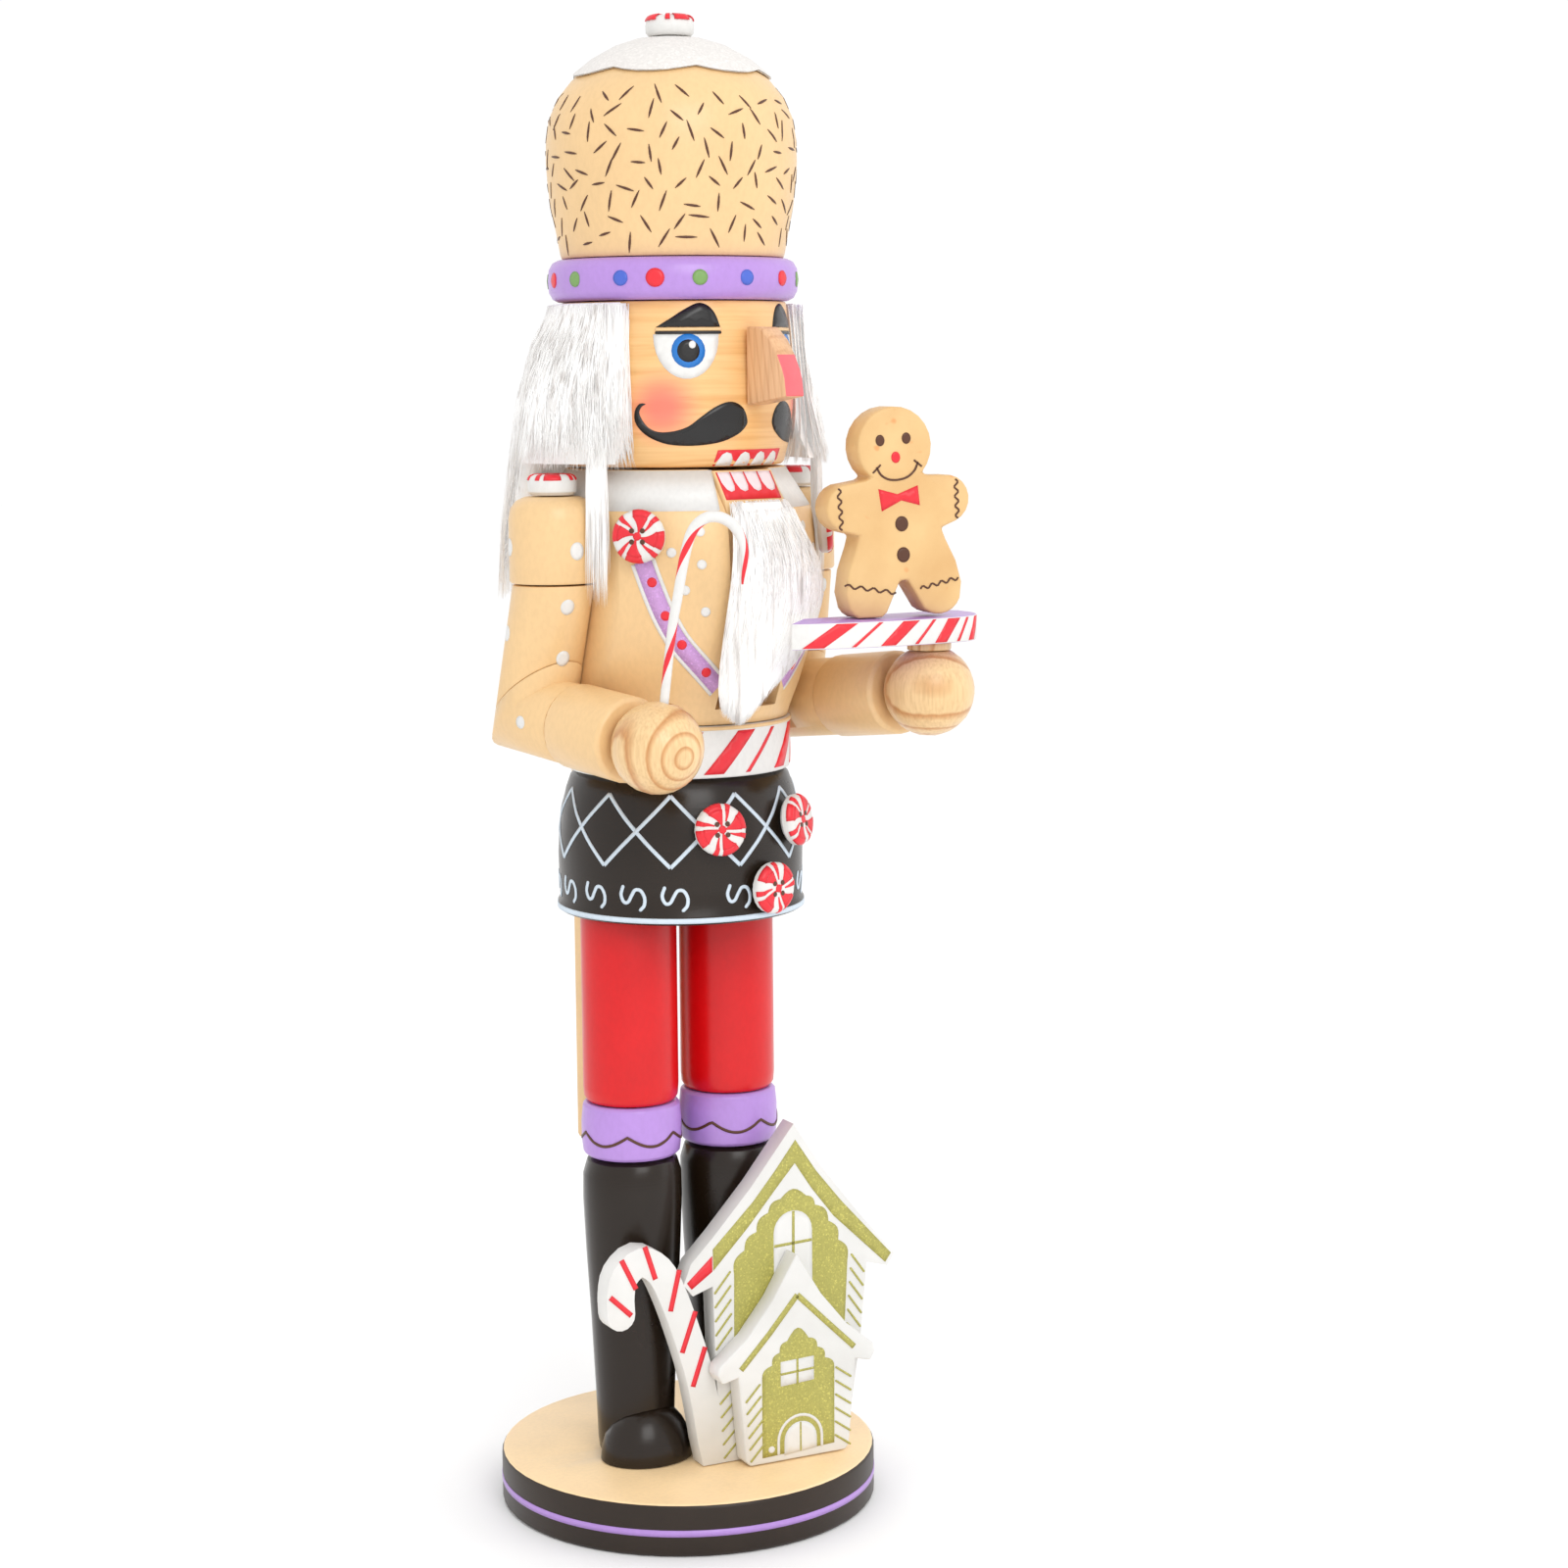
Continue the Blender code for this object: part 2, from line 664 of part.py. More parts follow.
def make_buttons():
    for azimuth, word in ((-51, "right"), (51, "left")):
        at, facing = wall_point(azimuth, 35.6, 253.5)
        make_button(f"chest_button_{word}", at, facing + Vector((0, 0, 0.06)))
    for azimuth, radius, height, lean, word in (
        (-20, 31.6, 180.6, 0.14, "right"), (24, 31.6, 180.6, 0.14, "left"),
        (6, 31.8, 165.0, 0.0, "middle"),
    ):
        at, facing = wall_point(azimuth, radius, height)
        make_button(f"skirt_button_{word}", at, facing + Vector((0, 0, lean)))
    for side, word in ((-1, "right"), (1, "left")):
        make_button(
            f"shoulder_button_{word}", (side * ARM_X, 0, 263.1), (0, 0, 1),
            SMALL_BUTTON_RADIUS, 5.1, False,
        )


def make_arm(side, word, elbow, hand, sleeve_start, sleeve_end, hand_radius):
    """Shoulder cap, upper arm, mitred elbow, sleeve and ball hand of one arm."""
    x = side * ARM_X
    shoulder = Vector((x, 0, 241.4))
    elbow = Vector((x, *elbow))
    hand = Vector((x, *hand))
    down = (elbow - shoulder).normalized()
    ahead = (hand - elbow).normalized()
    mitre = (down + ahead).normalized()
    flat = box(
        f"cut_arm_{word}",
        (min(side * 20, side * (FLAT_X + GAP)), -9.4, 190),
        (max(side * 20, side * (FLAT_X + GAP)), 30, 290),
    )
    cap = turned(
        f"shoulder_cap_{word}",
        [(0, 241.9), (10.5, 241.9), (CAP_RADIUS, 242.5), (CAP_RADIUS, 257.5), (10.4, 260.2),
         (9.0, 262.0), (6.8, 263.0), (0, 263.1)],
        TAN, 0.42, 28, Matrix.Translation((x, 0, 0)),
    )
    shape_with(cap, flat, "DIFFERENCE")
    dowel_hole = turned(
        f"cut_cap_dowel_{word}", [(0, 20), (2.8, 20), (2.8, 37.3), (0, 37.3)],
        segments=20, place=along((0, 0, 251), (side * 10, 0, 251)),
    )
    shape_with(cap, dowel_hole, "DIFFERENCE")
    turned(
        f"arm_dowel_{word}", [(0, 24.4), (2.5, 24.4), (2.5, 36.9), (0, 36.9)],
        PINE, 0.6, 20, along((0, 0, 251), (side * 10, 0, 251)),
    )
    # The upper arm ends in a slanting cut that falls towards the back.
    lean = math.radians(33)
    cut = Vector((0, math.sin(lean), math.cos(lean)))
    inner_corner = ARM_RADIUS * math.tan(down.angle(ahead) / 2)
    joint = elbow - down * (inner_corner + 0.6 - ARM_RADIUS * math.tan(lean))
    upper = cut_rod(
        f"upper_arm_{word}", [shoulder, joint - down * 0.15], ARM_RADIUS, [Vector((0, 0, 1)), cut], TAN
    )
    shape_with(upper, flat, "DIFFERENCE")
    stop = elbow + ahead * (sleeve_start / abs(ahead.y))
    lower = cut_rod(
        f"forearm_{word}", [joint + down * 0.15, elbow, stop], ARM_RADIUS, [cut, mitre, ahead], TAN
    )
    shape_with(lower, flat, "DIFFERENCE")
    sleeve_place = along(stop + ahead * GAP, hand)
    length = (sleeve_end - sleeve_start) / abs(ahead.y)
    turned(
        f"sleeve_{word}",
        [(0, 0), (SLEEVE_RADIUS - 0.5, 0), (SLEEVE_RADIUS, 0.5), (SLEEVE_RADIUS, length - 0.9),
         (SLEEVE_RADIUS - 0.9, length), (7.2, length), (3.3, length - 1.2), (3.3, length - 7),
         (0, length - 7)],
        TAN, 0.42, 28, sleeve_place,
    )
    make_hand(word, hand, ahead, hand_radius, (hand - stop).length - GAP - length)


def make_hand(word, centre, ahead, radius, back):
    """A ball with a flattened wrist and a short tenon into the sleeve."""
    profile = [(0, -back - 6.4), (3.0, -back - 6.4), (3.0, -back + GAP)]
    start = -math.asin((back - GAP) / radius)
    steps = 11
    for k in range(steps + 1):
        turn = start + (0.5 * math.pi - start) * k / steps
        profile.append((radius * math.cos(turn) if k < steps else 0.0, radius * math.sin(turn)))
    hand = turned(f"hand_{word}", profile, PINE, 0.5, 28, along(centre, centre + ahead))
    if word == "right":
        grip = turned(
            "cut_hand_staff", [(0, 0), (STAFF_RADIUS + GAP, 0), (STAFF_RADIUS + GAP, 20), (0, 20)],
            segments=16, place=along(staff_point(-1.9, 207.0), staff_point(-0.8, 215.0)),
        )
        shape_with(hand, grip, "DIFFERENCE")
    else:
        level = box(
            "cut_hand_top", (centre.x - 14, centre.y - 14, centre.z + 10.0),
            (centre.x + 14, centre.y + 14, centre.z + 20)
        )
        shape_with(hand, level, "DIFFERENCE")
        turned(
            "tray_peg",
            [(0, centre.z + 10.3), (5.5, centre.z + 10.3), (5.5, TRAY_BOTTOM - GAP),
             (0, TRAY_BOTTOM - GAP)],
            PINE, 0.5, 28, Matrix.Translation((centre.x, centre.y, 0)),
        )


def staff_point(across, height):
    """The staff stands in one upright plane that crosses the right hand."""
    turn = math.radians(-39)
    return Vector((-35.4 + across * math.cos(turn), -43.7 + across * math.sin(turn), height))


def make_staff():
    """A thin round candy cane, straight below with a hook turned to the left."""
    flat = [(-1.8, 207.6), (0.9, 230.8), (2.6, 240.5), (4.4, 250.0), (6.3, 256.0), (9.4, 258.9),
            (13.0, 259.0), (16.4, 256.6), (18.4, 251.6), (18.4, 243.0)]
    path = [staff_point(p.x, p.y) for p in smooth_path(flat, 3)]
    side = staff_point(0, 0) - staff_point(1, 0)
    normal = side.cross(Vector((0, 0, 1))).normalized()
    segments = 10
    rows = []
    for k, point in enumerate(path):
        way = (path[min(k + 1, len(path) - 1)] - path[max(k - 1, 0)]).normalized()
        out = way.cross(normal).normalized()
        row = []
        for j in range(segments):
            turn = 2 * math.pi * j / segments
            row.append(point + STAFF_RADIUS * (math.cos(turn) * normal + math.sin(turn) * out))
        rows.append(row)
    loft("candy_cane_staff", rows, WHITE, 0.35)


def make_tray():
    """Straight at the back and at the left end, gently bowed in front, round at the right."""
    bow = 92.0
    front = []
    for k in range(9):
        turn = math.radians(-17 + 29.2 * k / 8)
        front.append((bow * (math.sin(turn) - math.sin(math.radians(-17))),
                      -bow * (math.cos(turn) - math.cos(math.radians(-17)))))
    corner = []
    for k in range(1, 9):
        turn = math.radians(12.2 + 90 * k / 8)
        corner.append((front[-1][0] + 12 * (math.sin(turn) - math.sin(math.radians(12.2))),
                       front[-1][1] - 12 * (math.cos(turn) - math.cos(math.radians(12.2)))))
    outline = front + corner + [(55.9, 15.5), (54.0, 17.5), (9.8, 12.6)]
    place = spin(TRAY_YAW, (*TRAY_CORNER, 0))
    slab("tray", outline, TRAY_BOTTOM, TRAY_TOP, place, WHITE, 0.4)


def cookie_half():
    """The right half of the gingerbread man's outline, from the crotch up to the head."""
    half = [(1.0, 9.4), (2.6, 6.4)]
    half += arc((9.2, 6.2), 6.0, 225, 335, 7)
    half += [(15.3, 7.6), (14.2, 13.0), (11.8, 18.6), (10.9, 21.4)]
    half += arc((12.9, 28.3), 5.9, -70, 95, 9)
    half += [(8.2, 34.6)]
    half += arc((0.0, 42.3), 9.7, -46, 90, 9)
    return half


def make_cookie():
    half = cookie_half()
    mirrored = [(-u, v) for u, v in reversed(half) if u > 0.05]
    lean = math.radians(COOKIE_LEAN)
    outline = [
        (u * math.cos(lean) - v * math.sin(lean), u * math.sin(lean) + v * math.cos(lean))
        for u, v in half + mirrored
    ]
    place = spin(COOKIE_YAW, (*COOKIE_AT, TRAY_TOP + GAP))
    low = min(v for u, v in outline)
    outline = [(u, max(v - low - 0.9, 0.0)) for u, v in outline]
    plate("gingerbread_man", outline, -COOKIE_THICK / 2, COOKIE_THICK / 2, place, TAN, 0.5)


def make_houses():
    """Two gabled boards with swept eaves; the taller one runs on into a candy cane."""
    foot = BASE_TOP + GAP
    place = spin(HOUSE_YAW, (*HOUSE_AT, 0))
    half = [(13.7, foot), (14.9, foot + 1.2), (15.2, foot + 4.0), (17.0, 38.0), (21.4, 36.9),
            (22.8, 39.3), (22.3, 41.5), (14.5, 47.9), (7.1, 56.9)]
    small = half + [(0.0, 68.5)] + [(-across, height) for across, height in reversed(half)]
    plate("house_front", small, 0, BOARD_THICK, place, WHITE, 0.5)
    low = BOARD_THICK + GAP
    high = low + BOARD_THICK
    right = [(17.5, foot), (21.9, 42.0), (23.8, 61.4), (29.9, 59.6), (32.0, 62.7), (27.9, 67.6),
             (22.1, 74.2), (10.6, 88.7)]
    left = [(-19.0, foot), (-20.4, 42.0), (-21.0, 61.2), (-26.6, 59.4), (-29.2, 62.6),
            (-27.1, 67.8), (-20.0, 74.8), (-9.6, 86.0)]
    tall = right + [(2.6, 101.0)] + left[::-1]
    rear = plate("house_back", tall, low, high, place, WHITE, 0.5)
    line = [(-46.6, 57.0), (-46.7, 62.0), (-45.5, 67.0), (-41.0, 70.3), (-36.0, 67.5),
            (-32.5, 61.0), (-28.5, 50.0), (-24.5, 36.0), (-20.5, foot - 1.5)]
    band = [(s, max(v, foot)) for s, v in ribbon(smooth_path(line, 3), 3.8)]
    cane = plate("cut_cane_shape", band, low, high, place)
    shape_with(rear, cane, "UNION")


def build():
    clear_scene()
    make_base()
    for side, word in ((-1, "right"), (1, "left")):
        make_leg(side, word)
    make_skirt()
    make_belt()
    make_torso()
    make_head()
    make_hat()
    make_lever()
    make_beard()
    hang_on_pivot(["jaw_lever", "beard"])
    make_hair()
    make_buttons()
    make_arm(-1, "right", (9.0, 208.4), (-41.9, 204.4), 18.0, 40.4, HAND_RADIUS)
    make_arm(1, "left", (4.0, 207.0), (-53.6, 213.6), 23.9, 46.6, 11.4)
    make_staff()
    make_tray()
    make_cookie()
    make_houses()


build()
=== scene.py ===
"""Looks of the wooden nutcracker: paint, bare wood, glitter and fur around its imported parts.

Lengths are millimetres in the row frame and turn into metres where a mesh is made.
The figure's front faces -Y, its right hand is on the -X side and +Z is up.
"""

import json
import math
import random

import bmesh
import bpy
import numpy as np
from mathutils import Matrix, Vector
from mathutils.geometry import delaunay_2d_cdt

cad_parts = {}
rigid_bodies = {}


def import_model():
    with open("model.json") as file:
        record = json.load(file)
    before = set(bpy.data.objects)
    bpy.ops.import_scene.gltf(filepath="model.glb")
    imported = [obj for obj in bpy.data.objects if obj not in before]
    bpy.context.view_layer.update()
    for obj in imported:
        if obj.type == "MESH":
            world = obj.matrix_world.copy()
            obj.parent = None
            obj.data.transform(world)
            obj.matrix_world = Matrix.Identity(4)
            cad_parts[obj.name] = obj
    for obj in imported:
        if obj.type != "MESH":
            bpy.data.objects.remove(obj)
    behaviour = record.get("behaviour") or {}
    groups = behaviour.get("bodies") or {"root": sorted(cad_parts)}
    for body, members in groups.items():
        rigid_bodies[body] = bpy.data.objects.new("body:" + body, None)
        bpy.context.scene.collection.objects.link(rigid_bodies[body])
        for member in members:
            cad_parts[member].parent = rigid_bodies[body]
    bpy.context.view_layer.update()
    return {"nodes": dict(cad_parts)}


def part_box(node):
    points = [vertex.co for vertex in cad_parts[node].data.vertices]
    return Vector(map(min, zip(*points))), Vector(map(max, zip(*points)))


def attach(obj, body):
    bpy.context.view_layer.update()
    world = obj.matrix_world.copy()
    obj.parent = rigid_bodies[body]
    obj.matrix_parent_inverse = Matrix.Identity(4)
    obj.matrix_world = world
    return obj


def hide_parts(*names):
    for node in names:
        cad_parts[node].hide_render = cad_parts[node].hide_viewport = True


for leftover in list(bpy.data.objects):
    bpy.data.objects.remove(leftover, do_unlink=True)
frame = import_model()

MM = 0.001
UP = Vector((0, 0, 1))
FACE_AZIMUTH = 4.0      # the head is glued on turned a little to the figure's left
HOUSE_YAW = -12.0
COOKIE_YAW = -19.0
COOKIE_LEAN = 4.0
LIFT = 0.10             # how far a coat of paint stands off its wall
LINE_LIFT = LIFT + 0.04
SECOND_COAT = LIFT + 0.08
THIRD_COAT = LIFT + 0.14
SHEET = 0.25            # thickness of a painted patch, most of it inside the wall
HATCH_WIDTH = 0.55
CAP_RADIUS = 10.9       # of a shoulder cap
ARM_RADIUS = 10.1       # of an arm rod
SWEET_RIM = 1.5         # width of a button's rounded rim


def rgb(red, green, blue):
    """A display colour, 0 to 255, as the linear values that shaders take."""
    values = []
    for part in (red, green, blue):
        part /= 255
        values.append(part / 12.92 if part <= 0.04045 else ((part + 0.055) / 1.055) ** 2.4)
    return (*values, 1.0)


TAN = rgb(233, 196, 143)
# The base's top: the same tan as TAN made lighter, painted light as if the top were lit from above
TAN_TOP_PAINTED_LIGHT = rgb(250, 217, 168)
DARK = rgb(33, 23, 14)
BASE_DARK = rgb(44, 33, 24)
RED = rgb(212, 10, 16)
STRIPE_RED = rgb(228, 36, 50)
PURPLE = rgb(178, 138, 212)
SASH = rgb(205, 158, 218)
WHITE = rgb(226, 225, 222)
GREEN = rgb(178, 172, 88)
BLUE = rgb(30, 118, 200)
BLACK = rgb(22, 20, 20)
SKIN = rgb(238, 188, 124)
SKIN_DARK = rgb(230, 174, 108)
PINE = rgb(238, 203, 150)
PINE_DARK = rgb(206, 146, 84)
PINK = rgb(236, 104, 112)
LINES = rgb(206, 220, 232)
FUR = rgb(249, 248, 247)
FUR_DARK = rgb(214, 209, 205)
BROWN = rgb(84, 46, 24)


# ---------------------------------------------------------------- materials

class Shader:
    """A material's node tree with short calls to add and join nodes."""

    def __init__(self, name, rough=0.5):
        self.material = bpy.data.materials.new(name)
        self.material.use_nodes = True
        self.tree = self.material.node_tree
        self.surface = self.tree.nodes["Principled BSDF"]
        self.put("Roughness", rough)
        self.place = self.add("TexCoord").outputs["Object"]

    def put(self, name, value):
        self.surface.inputs[name].default_value = value

    def lacquer(self, weight, rough):
        self.put("Coat Weight", weight)
        self.put("Coat Roughness", rough)

    def add(self, kind, **inputs):
        """A new node with those inputs set; an underscore stands for a space."""
        node = self.tree.nodes.new("ShaderNode" + kind)
        for name, value in inputs.items():
            node.inputs[name.replace("_", " ")].default_value = value
        return node

    def link(self, source, target):
        self.tree.links.new(source, target)

    def stretched(self, scale, turn=(0, 0, 0)):
        node = self.add("Mapping", Scale=scale, Rotation=turn)
        self.link(self.place, node.inputs["Vector"])
        return node.outputs["Vector"]

    def noise(self, where, scale, detail=3.0, distortion=0.0):
        node = self.add("TexNoise", Scale=scale, Detail=detail, Distortion=distortion)
        self.link(where, node.inputs["Vector"])
        return node.outputs["Fac"]

    def cells(self, where, scale):
        node = self.add("TexVoronoi", Scale=scale)
        self.link(where, node.inputs["Vector"])
        return node

    def ramp(self, value, stops):
        node = self.add("ValToRGB")
        while len(node.color_ramp.elements) < len(stops):
            node.color_ramp.elements.new(0.5)
        for element, (spot, colour) in zip(node.color_ramp.elements, stops):
            element.position = spot
            element.color = colour
        self.link(value, node.inputs["Fac"])
        return node.outputs["Color"]

    def tint(self, value, low, shadow, high):
        """White, with a darker tint where the value is low."""
        return self.ramp(value, [(low, (*shadow, 1)), (high, (1, 1, 1, 1))])

    def times(self, first, second):
        return self.mix(1.0, first, second, "MULTIPLY")

    def mix(self, share, first, second, kind="MIX"):
        node = self.add("Mix")
        node.data_type = "RGBA"
        node.blend_type = kind
        for socket, value in ((node.inputs[0], share), (node.inputs[6], first), (node.inputs[7], second)):
            if hasattr(value, "is_output"):
                self.link(value, socket)
            else:
                socket.default_value = value
        return node.outputs[2]

    def rough(self, value, low, high):
        node = self.add("MapRange", To_Min=low, To_Max=high)
        self.link(value, node.inputs["Value"])
        self.link(node.outputs["Result"], self.surface.inputs["Roughness"])

    def bump(self, value, height, strength=0.5):
        """Height is in millimetres.  Calls stack, each over the one before."""
        node = self.add("Bump", Distance=height * MM, Strength=strength)
        self.link(value, node.inputs["Height"])
        before = self.surface.inputs["Normal"]
        if before.is_linked:
            self.link(before.links[0].from_socket, node.inputs["Normal"])
        self.link(node.outputs["Normal"], before)

    def colour(self, value):
        self.link(value, self.surface.inputs["Base Color"])


def shade(colour, factor):
    return (*(min(c * factor, 1.0) for c in colour[:3]), 1.0)


def paint(name, colour, low=0.3, high=0.45, grain=0.25, mottle=0.05, coat=0.0, gloss=0.5):
    """Brushed enamel over turned wood: faint brush marks, blotches and the grain below."""
    made = Shader(name)
    blotch = made.noise(made.stretched((60, 60, 60)), 1.0, 4.0)
    fine = made.noise(made.stretched((900, 900, 500)), 1.0, 2.0)
    strokes = made.noise(made.stretched((160, 160, 1400)), 1.0, 2.0, 0.4)
    base = made.ramp(blotch, [(0.3, shade(colour, 1 - mottle)), (0.7, shade(colour, 1 + mottle))])
    speck = made.tint(fine, 0.35, (0.96, 0.96, 0.96), 0.6)
    made.colour(made.times(base, speck))
    made.put("Specular IOR Level", gloss)
    made.rough(blotch, low, high)
    made.bump(strokes, 0.05, grain)
    made.bump(fine, 0.02, 0.4)
    made.lacquer(coat, 0.25)
    return made.material


def pine(name, axis, centre, light=PINE, dark=PINE_DARK, spacing=2.6):
    """Clear-coated bare pine: growth rings round an axis near the piece."""
    made = Shader(name, 0.38)
    place = Matrix.Translation(centre) @ axis.to_track_quat("Z", "Y").to_matrix().to_4x4()
    turn = place.inverted().to_euler()
    node = made.add("Mapping", Rotation=turn, Location=place.inverted().translation * MM)
    made.link(made.place, node.inputs["Vector"])
    wobble = made.noise(node.outputs["Vector"], 45.0, 2.0)
    scale = 1000 * math.pi / (10 * spacing)
    rings = made.add("TexWave", Scale=scale, Distortion=1.6, Detail=1.5, Detail_Scale=0.6)
    rings.wave_type = "RINGS"
    rings.rings_direction = "Z"
    rings.wave_profile = "SAW"
    made.link(node.outputs["Vector"], rings.inputs["Vector"])
    bands = made.ramp(rings.outputs["Fac"], [(0.0, light), (0.55, light), (0.88, dark), (1.0, light)])
    fibre = made.noise(made.stretched((1500, 1500, 90)), 1.0, 2.0)
    fleck = made.tint(fibre, 0.3, (0.86, 0.82, 0.78), 0.6)
    tone = made.tint(wobble, 0.3, (0.93, 0.90, 0.86), 0.7)
    made.colour(made.times(made.times(bands, fleck), tone))
    made.bump(fibre, 0.04, 0.35)
    made.lacquer(0.35, 0.3)
    return made.material


def face_wood():
    """Varnished wood with level grain, blushed on both cheeks."""
    made = Shader("face_wood", 0.35)
    level = made.stretched((25, 25, 300))
    grain = made.noise(level, 1.0, 5.0, 1.2)
    lathe = made.noise(made.stretched((25, 25, 1900)), 1.0, 2.0)
    base = made.ramp(grain, [(0.32, SKIN_DARK), (0.47, SKIN), (0.75, rgb(242, 198, 136))])
    lines = made.tint(lathe, 0.35, (0.95, 0.93, 0.90), 0.55)
    tone = made.times(base, lines)
    for azimuth in (-43.0, 43.0 + 2 * FACE_AZIMUTH):
        spot = wall_point(azimuth, 29.5, 284.5) * MM
        away = made.add("VectorMath")
        away.operation = "DISTANCE"
        away.inputs[1].default_value = spot
        made.link(made.place, away.inputs[0])
        fade = made.add("MapRange", From_Min=11.5 * MM, From_Max=1.5 * MM, To_Max=0.85)
        fade.interpolation_type = "SMOOTHSTEP"
        made.link(away.outputs["Value"], fade.inputs["Value"])
        tone = made.mix(fade.outputs["Result"], tone, rgb(250, 112, 100))
    made.colour(tone)
    made.bump(lathe, 0.05, 0.4)
    made.lacquer(0.3, 0.22)
    return made.material


def glitter(name, colour, strength=1.0):
    """Paint with fine glitter in it: each grain has its own tone and tilt."""
    made = Shader(name, 0.45)
    grains = made.cells(made.place, 2600.0)
    tone = made.ramp(
        grains.outputs["Color"], [(0.0, shade(colour, 1 - 0.28 * strength)), (0.7, colour),
                                  (0.95, shade(colour, 1 + 0.7 * strength))]
    )
    drift = made.noise(made.stretched((120, 120, 120)), 1.0, 3.0)
    cloud = made.tint(drift, 0.3, (0.92, 0.92, 0.90), 0.7)
    made.colour(made.times(tone, cloud))
    made.bump(grains.outputs["Distance"], 0.12, 0.5)
    return made.material


def sugar(name, colour):
    """Thick white icing paint, a little lumpy and glittering."""
    made = Shader(name, 0.5)
    lumps = made.noise(made.stretched((260, 260, 260)), 1.0, 3.0)
    grains = made.cells(made.place, 1800.0)
    made.colour(made.ramp(grains.outputs["Color"], [(0.0, shade(colour, 0.93)), (0.6, colour),
                                                    (1.0, shade(colour, 1.12))]))
    made.bump(lumps, 0.35, 0.5)
    made.bump(grains.outputs["Distance"], 0.08, 0.4)
    return made.material


def fur_material():
    made = Shader("fur_strands", 0.55)
    streaks = made.noise(made.stretched((700, 700, 45)), 1.0, 3.0)
    clumps = made.noise(made.stretched((110, 110, 25)), 1.0, 2.0)
    base = made.ramp(streaks, [(0.30, FUR_DARK), (0.46, FUR), (0.7, rgb(255, 255, 254))])
    depth = made.tint(clumps, 0.3, (0.90, 0.89, 0.88), 0.55)
    made.colour(made.times(base, depth))
    # A faint white glow: painted light that brightens the fur where its strands shade one another
    made.put("Emission Color", (1.0, 0.99, 0.98, 1))
    made.put("Emission Strength", 0.12)
    return made.material


# ---------------------------------------------------------------- surfaces

def wall_point(azimuth, radius, height):
    turn = math.radians(azimuth)
    return Vector((radius * math.sin(turn), -radius * math.cos(turn), height))


def box_mm(node):
    return tuple(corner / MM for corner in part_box(node))


def way_at(line, k):
    """The direction of a line at one of its points."""
    return (line[min(k + 1, len(line) - 1)] - line[max(k - 1, 0)]).normalized()


def strip_faces(count):
    """The faces of a strip whose points come in pairs."""
    return [(2 * k, 2 * k + 2, 2 * k + 3, 2 * k + 1) for k in range(count)]


def grid_faces(rows, across):
    """The faces of a grid of rows by across cells, its points listed row by row."""
    faces = []
    wide = across + 1
    for i in range(rows):
        for j in range(across):
            spot = wide * i + j
            faces.append((spot, spot + wide, spot + wide + 1, spot + 1))
    return faces


def disc_faces(count):
    """The faces of a disc: a middle point, then two rings of points round it."""
    faces = []
    for k in range(count):
        n = (k + 1) % count
        faces.append((0, 1 + k, 1 + n))
        faces.append((1 + k, 1 + count + k, 1 + count + n, 1 + n))
    return faces


def placed(name, data):
    """A new object, linked into the scene."""
    obj = bpy.data.objects.new(name, data)
    bpy.context.scene.collection.objects.link(obj)
    return obj


def mesh_points(node):
    return [vertex.co / MM for vertex in frame["nodes"][node].data.vertices]


class Turned:
    """A turned wall: u is the azimuth in degrees, 0 in front and positive to the left; v the height."""

    def __init__(self, rings, place=None):
        self.heights = [height for height, radius in rings]
        self.radii = [radius for height, radius in rings]
        self.place = place or Matrix.Identity(4)

    def radius(self, v):
        return float(np.interp(v, self.heights, self.radii))

    def unit(self, v):
        return math.radians(self.radius(v))

    def at(self, u, v, lift=LIFT):
        return self.place @ wall_point(u, self.radius(v) + lift, v)


class Flat:
    """A flat face: u across, v up and w outward, in the place's own frame."""

    def __init__(self, place):
        self.place = place

    def unit(self, v):
        return 1.0

    def at(self, u, v, lift=LIFT):
        return self.place @ Vector((u, v, lift))


def turned_node(node, low, high, centre=(0, 0)):
    """A turned CAD node's wall, read from the rings of its mesh between two heights."""
    rings = {}
    for point in mesh_points(node):
        across = point - Vector((*centre, 0))
        spot = (round(across.x, 1), round(across.y, 1))
        rings.setdefault(round(point.z, 1), {})[spot] = math.hypot(across.x, across.y)
    wall = []
    for height in sorted(rings):
        around = rings[height]
        if low <= height <= high and len(around) >= 12:
            wall.append((height, max(around.values())))
    return Turned(outer_rings(wall))


def outer_rings(wall, most=1.0):
    """Leaves out the rings of holes and sockets, which lie well inside the line between their neighbours."""
    for k in range(1, len(wall) - 1):
        (low, first), (height, radius), (high, last) = wall[k - 1: k + 2]
        if radius < first + (last - first) * (height - low) / (high - low) - most:
            return outer_rings(wall[:k] + wall[k + 1:], most)
    return wall


def columns(right, up, out, origin):
    place = Matrix((right, up, out)).transposed().to_4x4()
    place.translation = origin
    return place


def upright_face(node, yaw, middle=None):
    """The front face of an upright board turned by yaw degrees, and its middle across."""
    turn = math.radians(yaw)
    right = Vector((math.cos(turn), math.sin(turn), 0))
    out = Vector((math.sin(turn), -math.cos(turn), 0))
    points = mesh_points(node)
    across = [point.dot(right) for point in points]
    if middle is None:
        middle = (min(across) + max(across)) / 2
    front = max(point.dot(out) for point in points)
    return Flat(columns(right, UP, out, right * middle + out * front)), middle


def disc_face(node, out):
    """The outer face of a round button whose axis points nearly along out, and its radius."""
    points = mesh_points(node)
    low, high = box_mm(node)
    centre = (low + high) / 2
    out = out.normalized()
    top = max((point - centre).dot(out) for point in points)
    radius = max(((point - centre) - out * (point - centre).dot(out)).length for point in points)
    right = UP.cross(out)
    right = Vector((1, 0, 0)) if right.length < 0.1 else right.normalized()
    return Flat(columns(right, out.cross(right), out, centre + out * top)), radius


# ---------------------------------------------------------------- painted patches

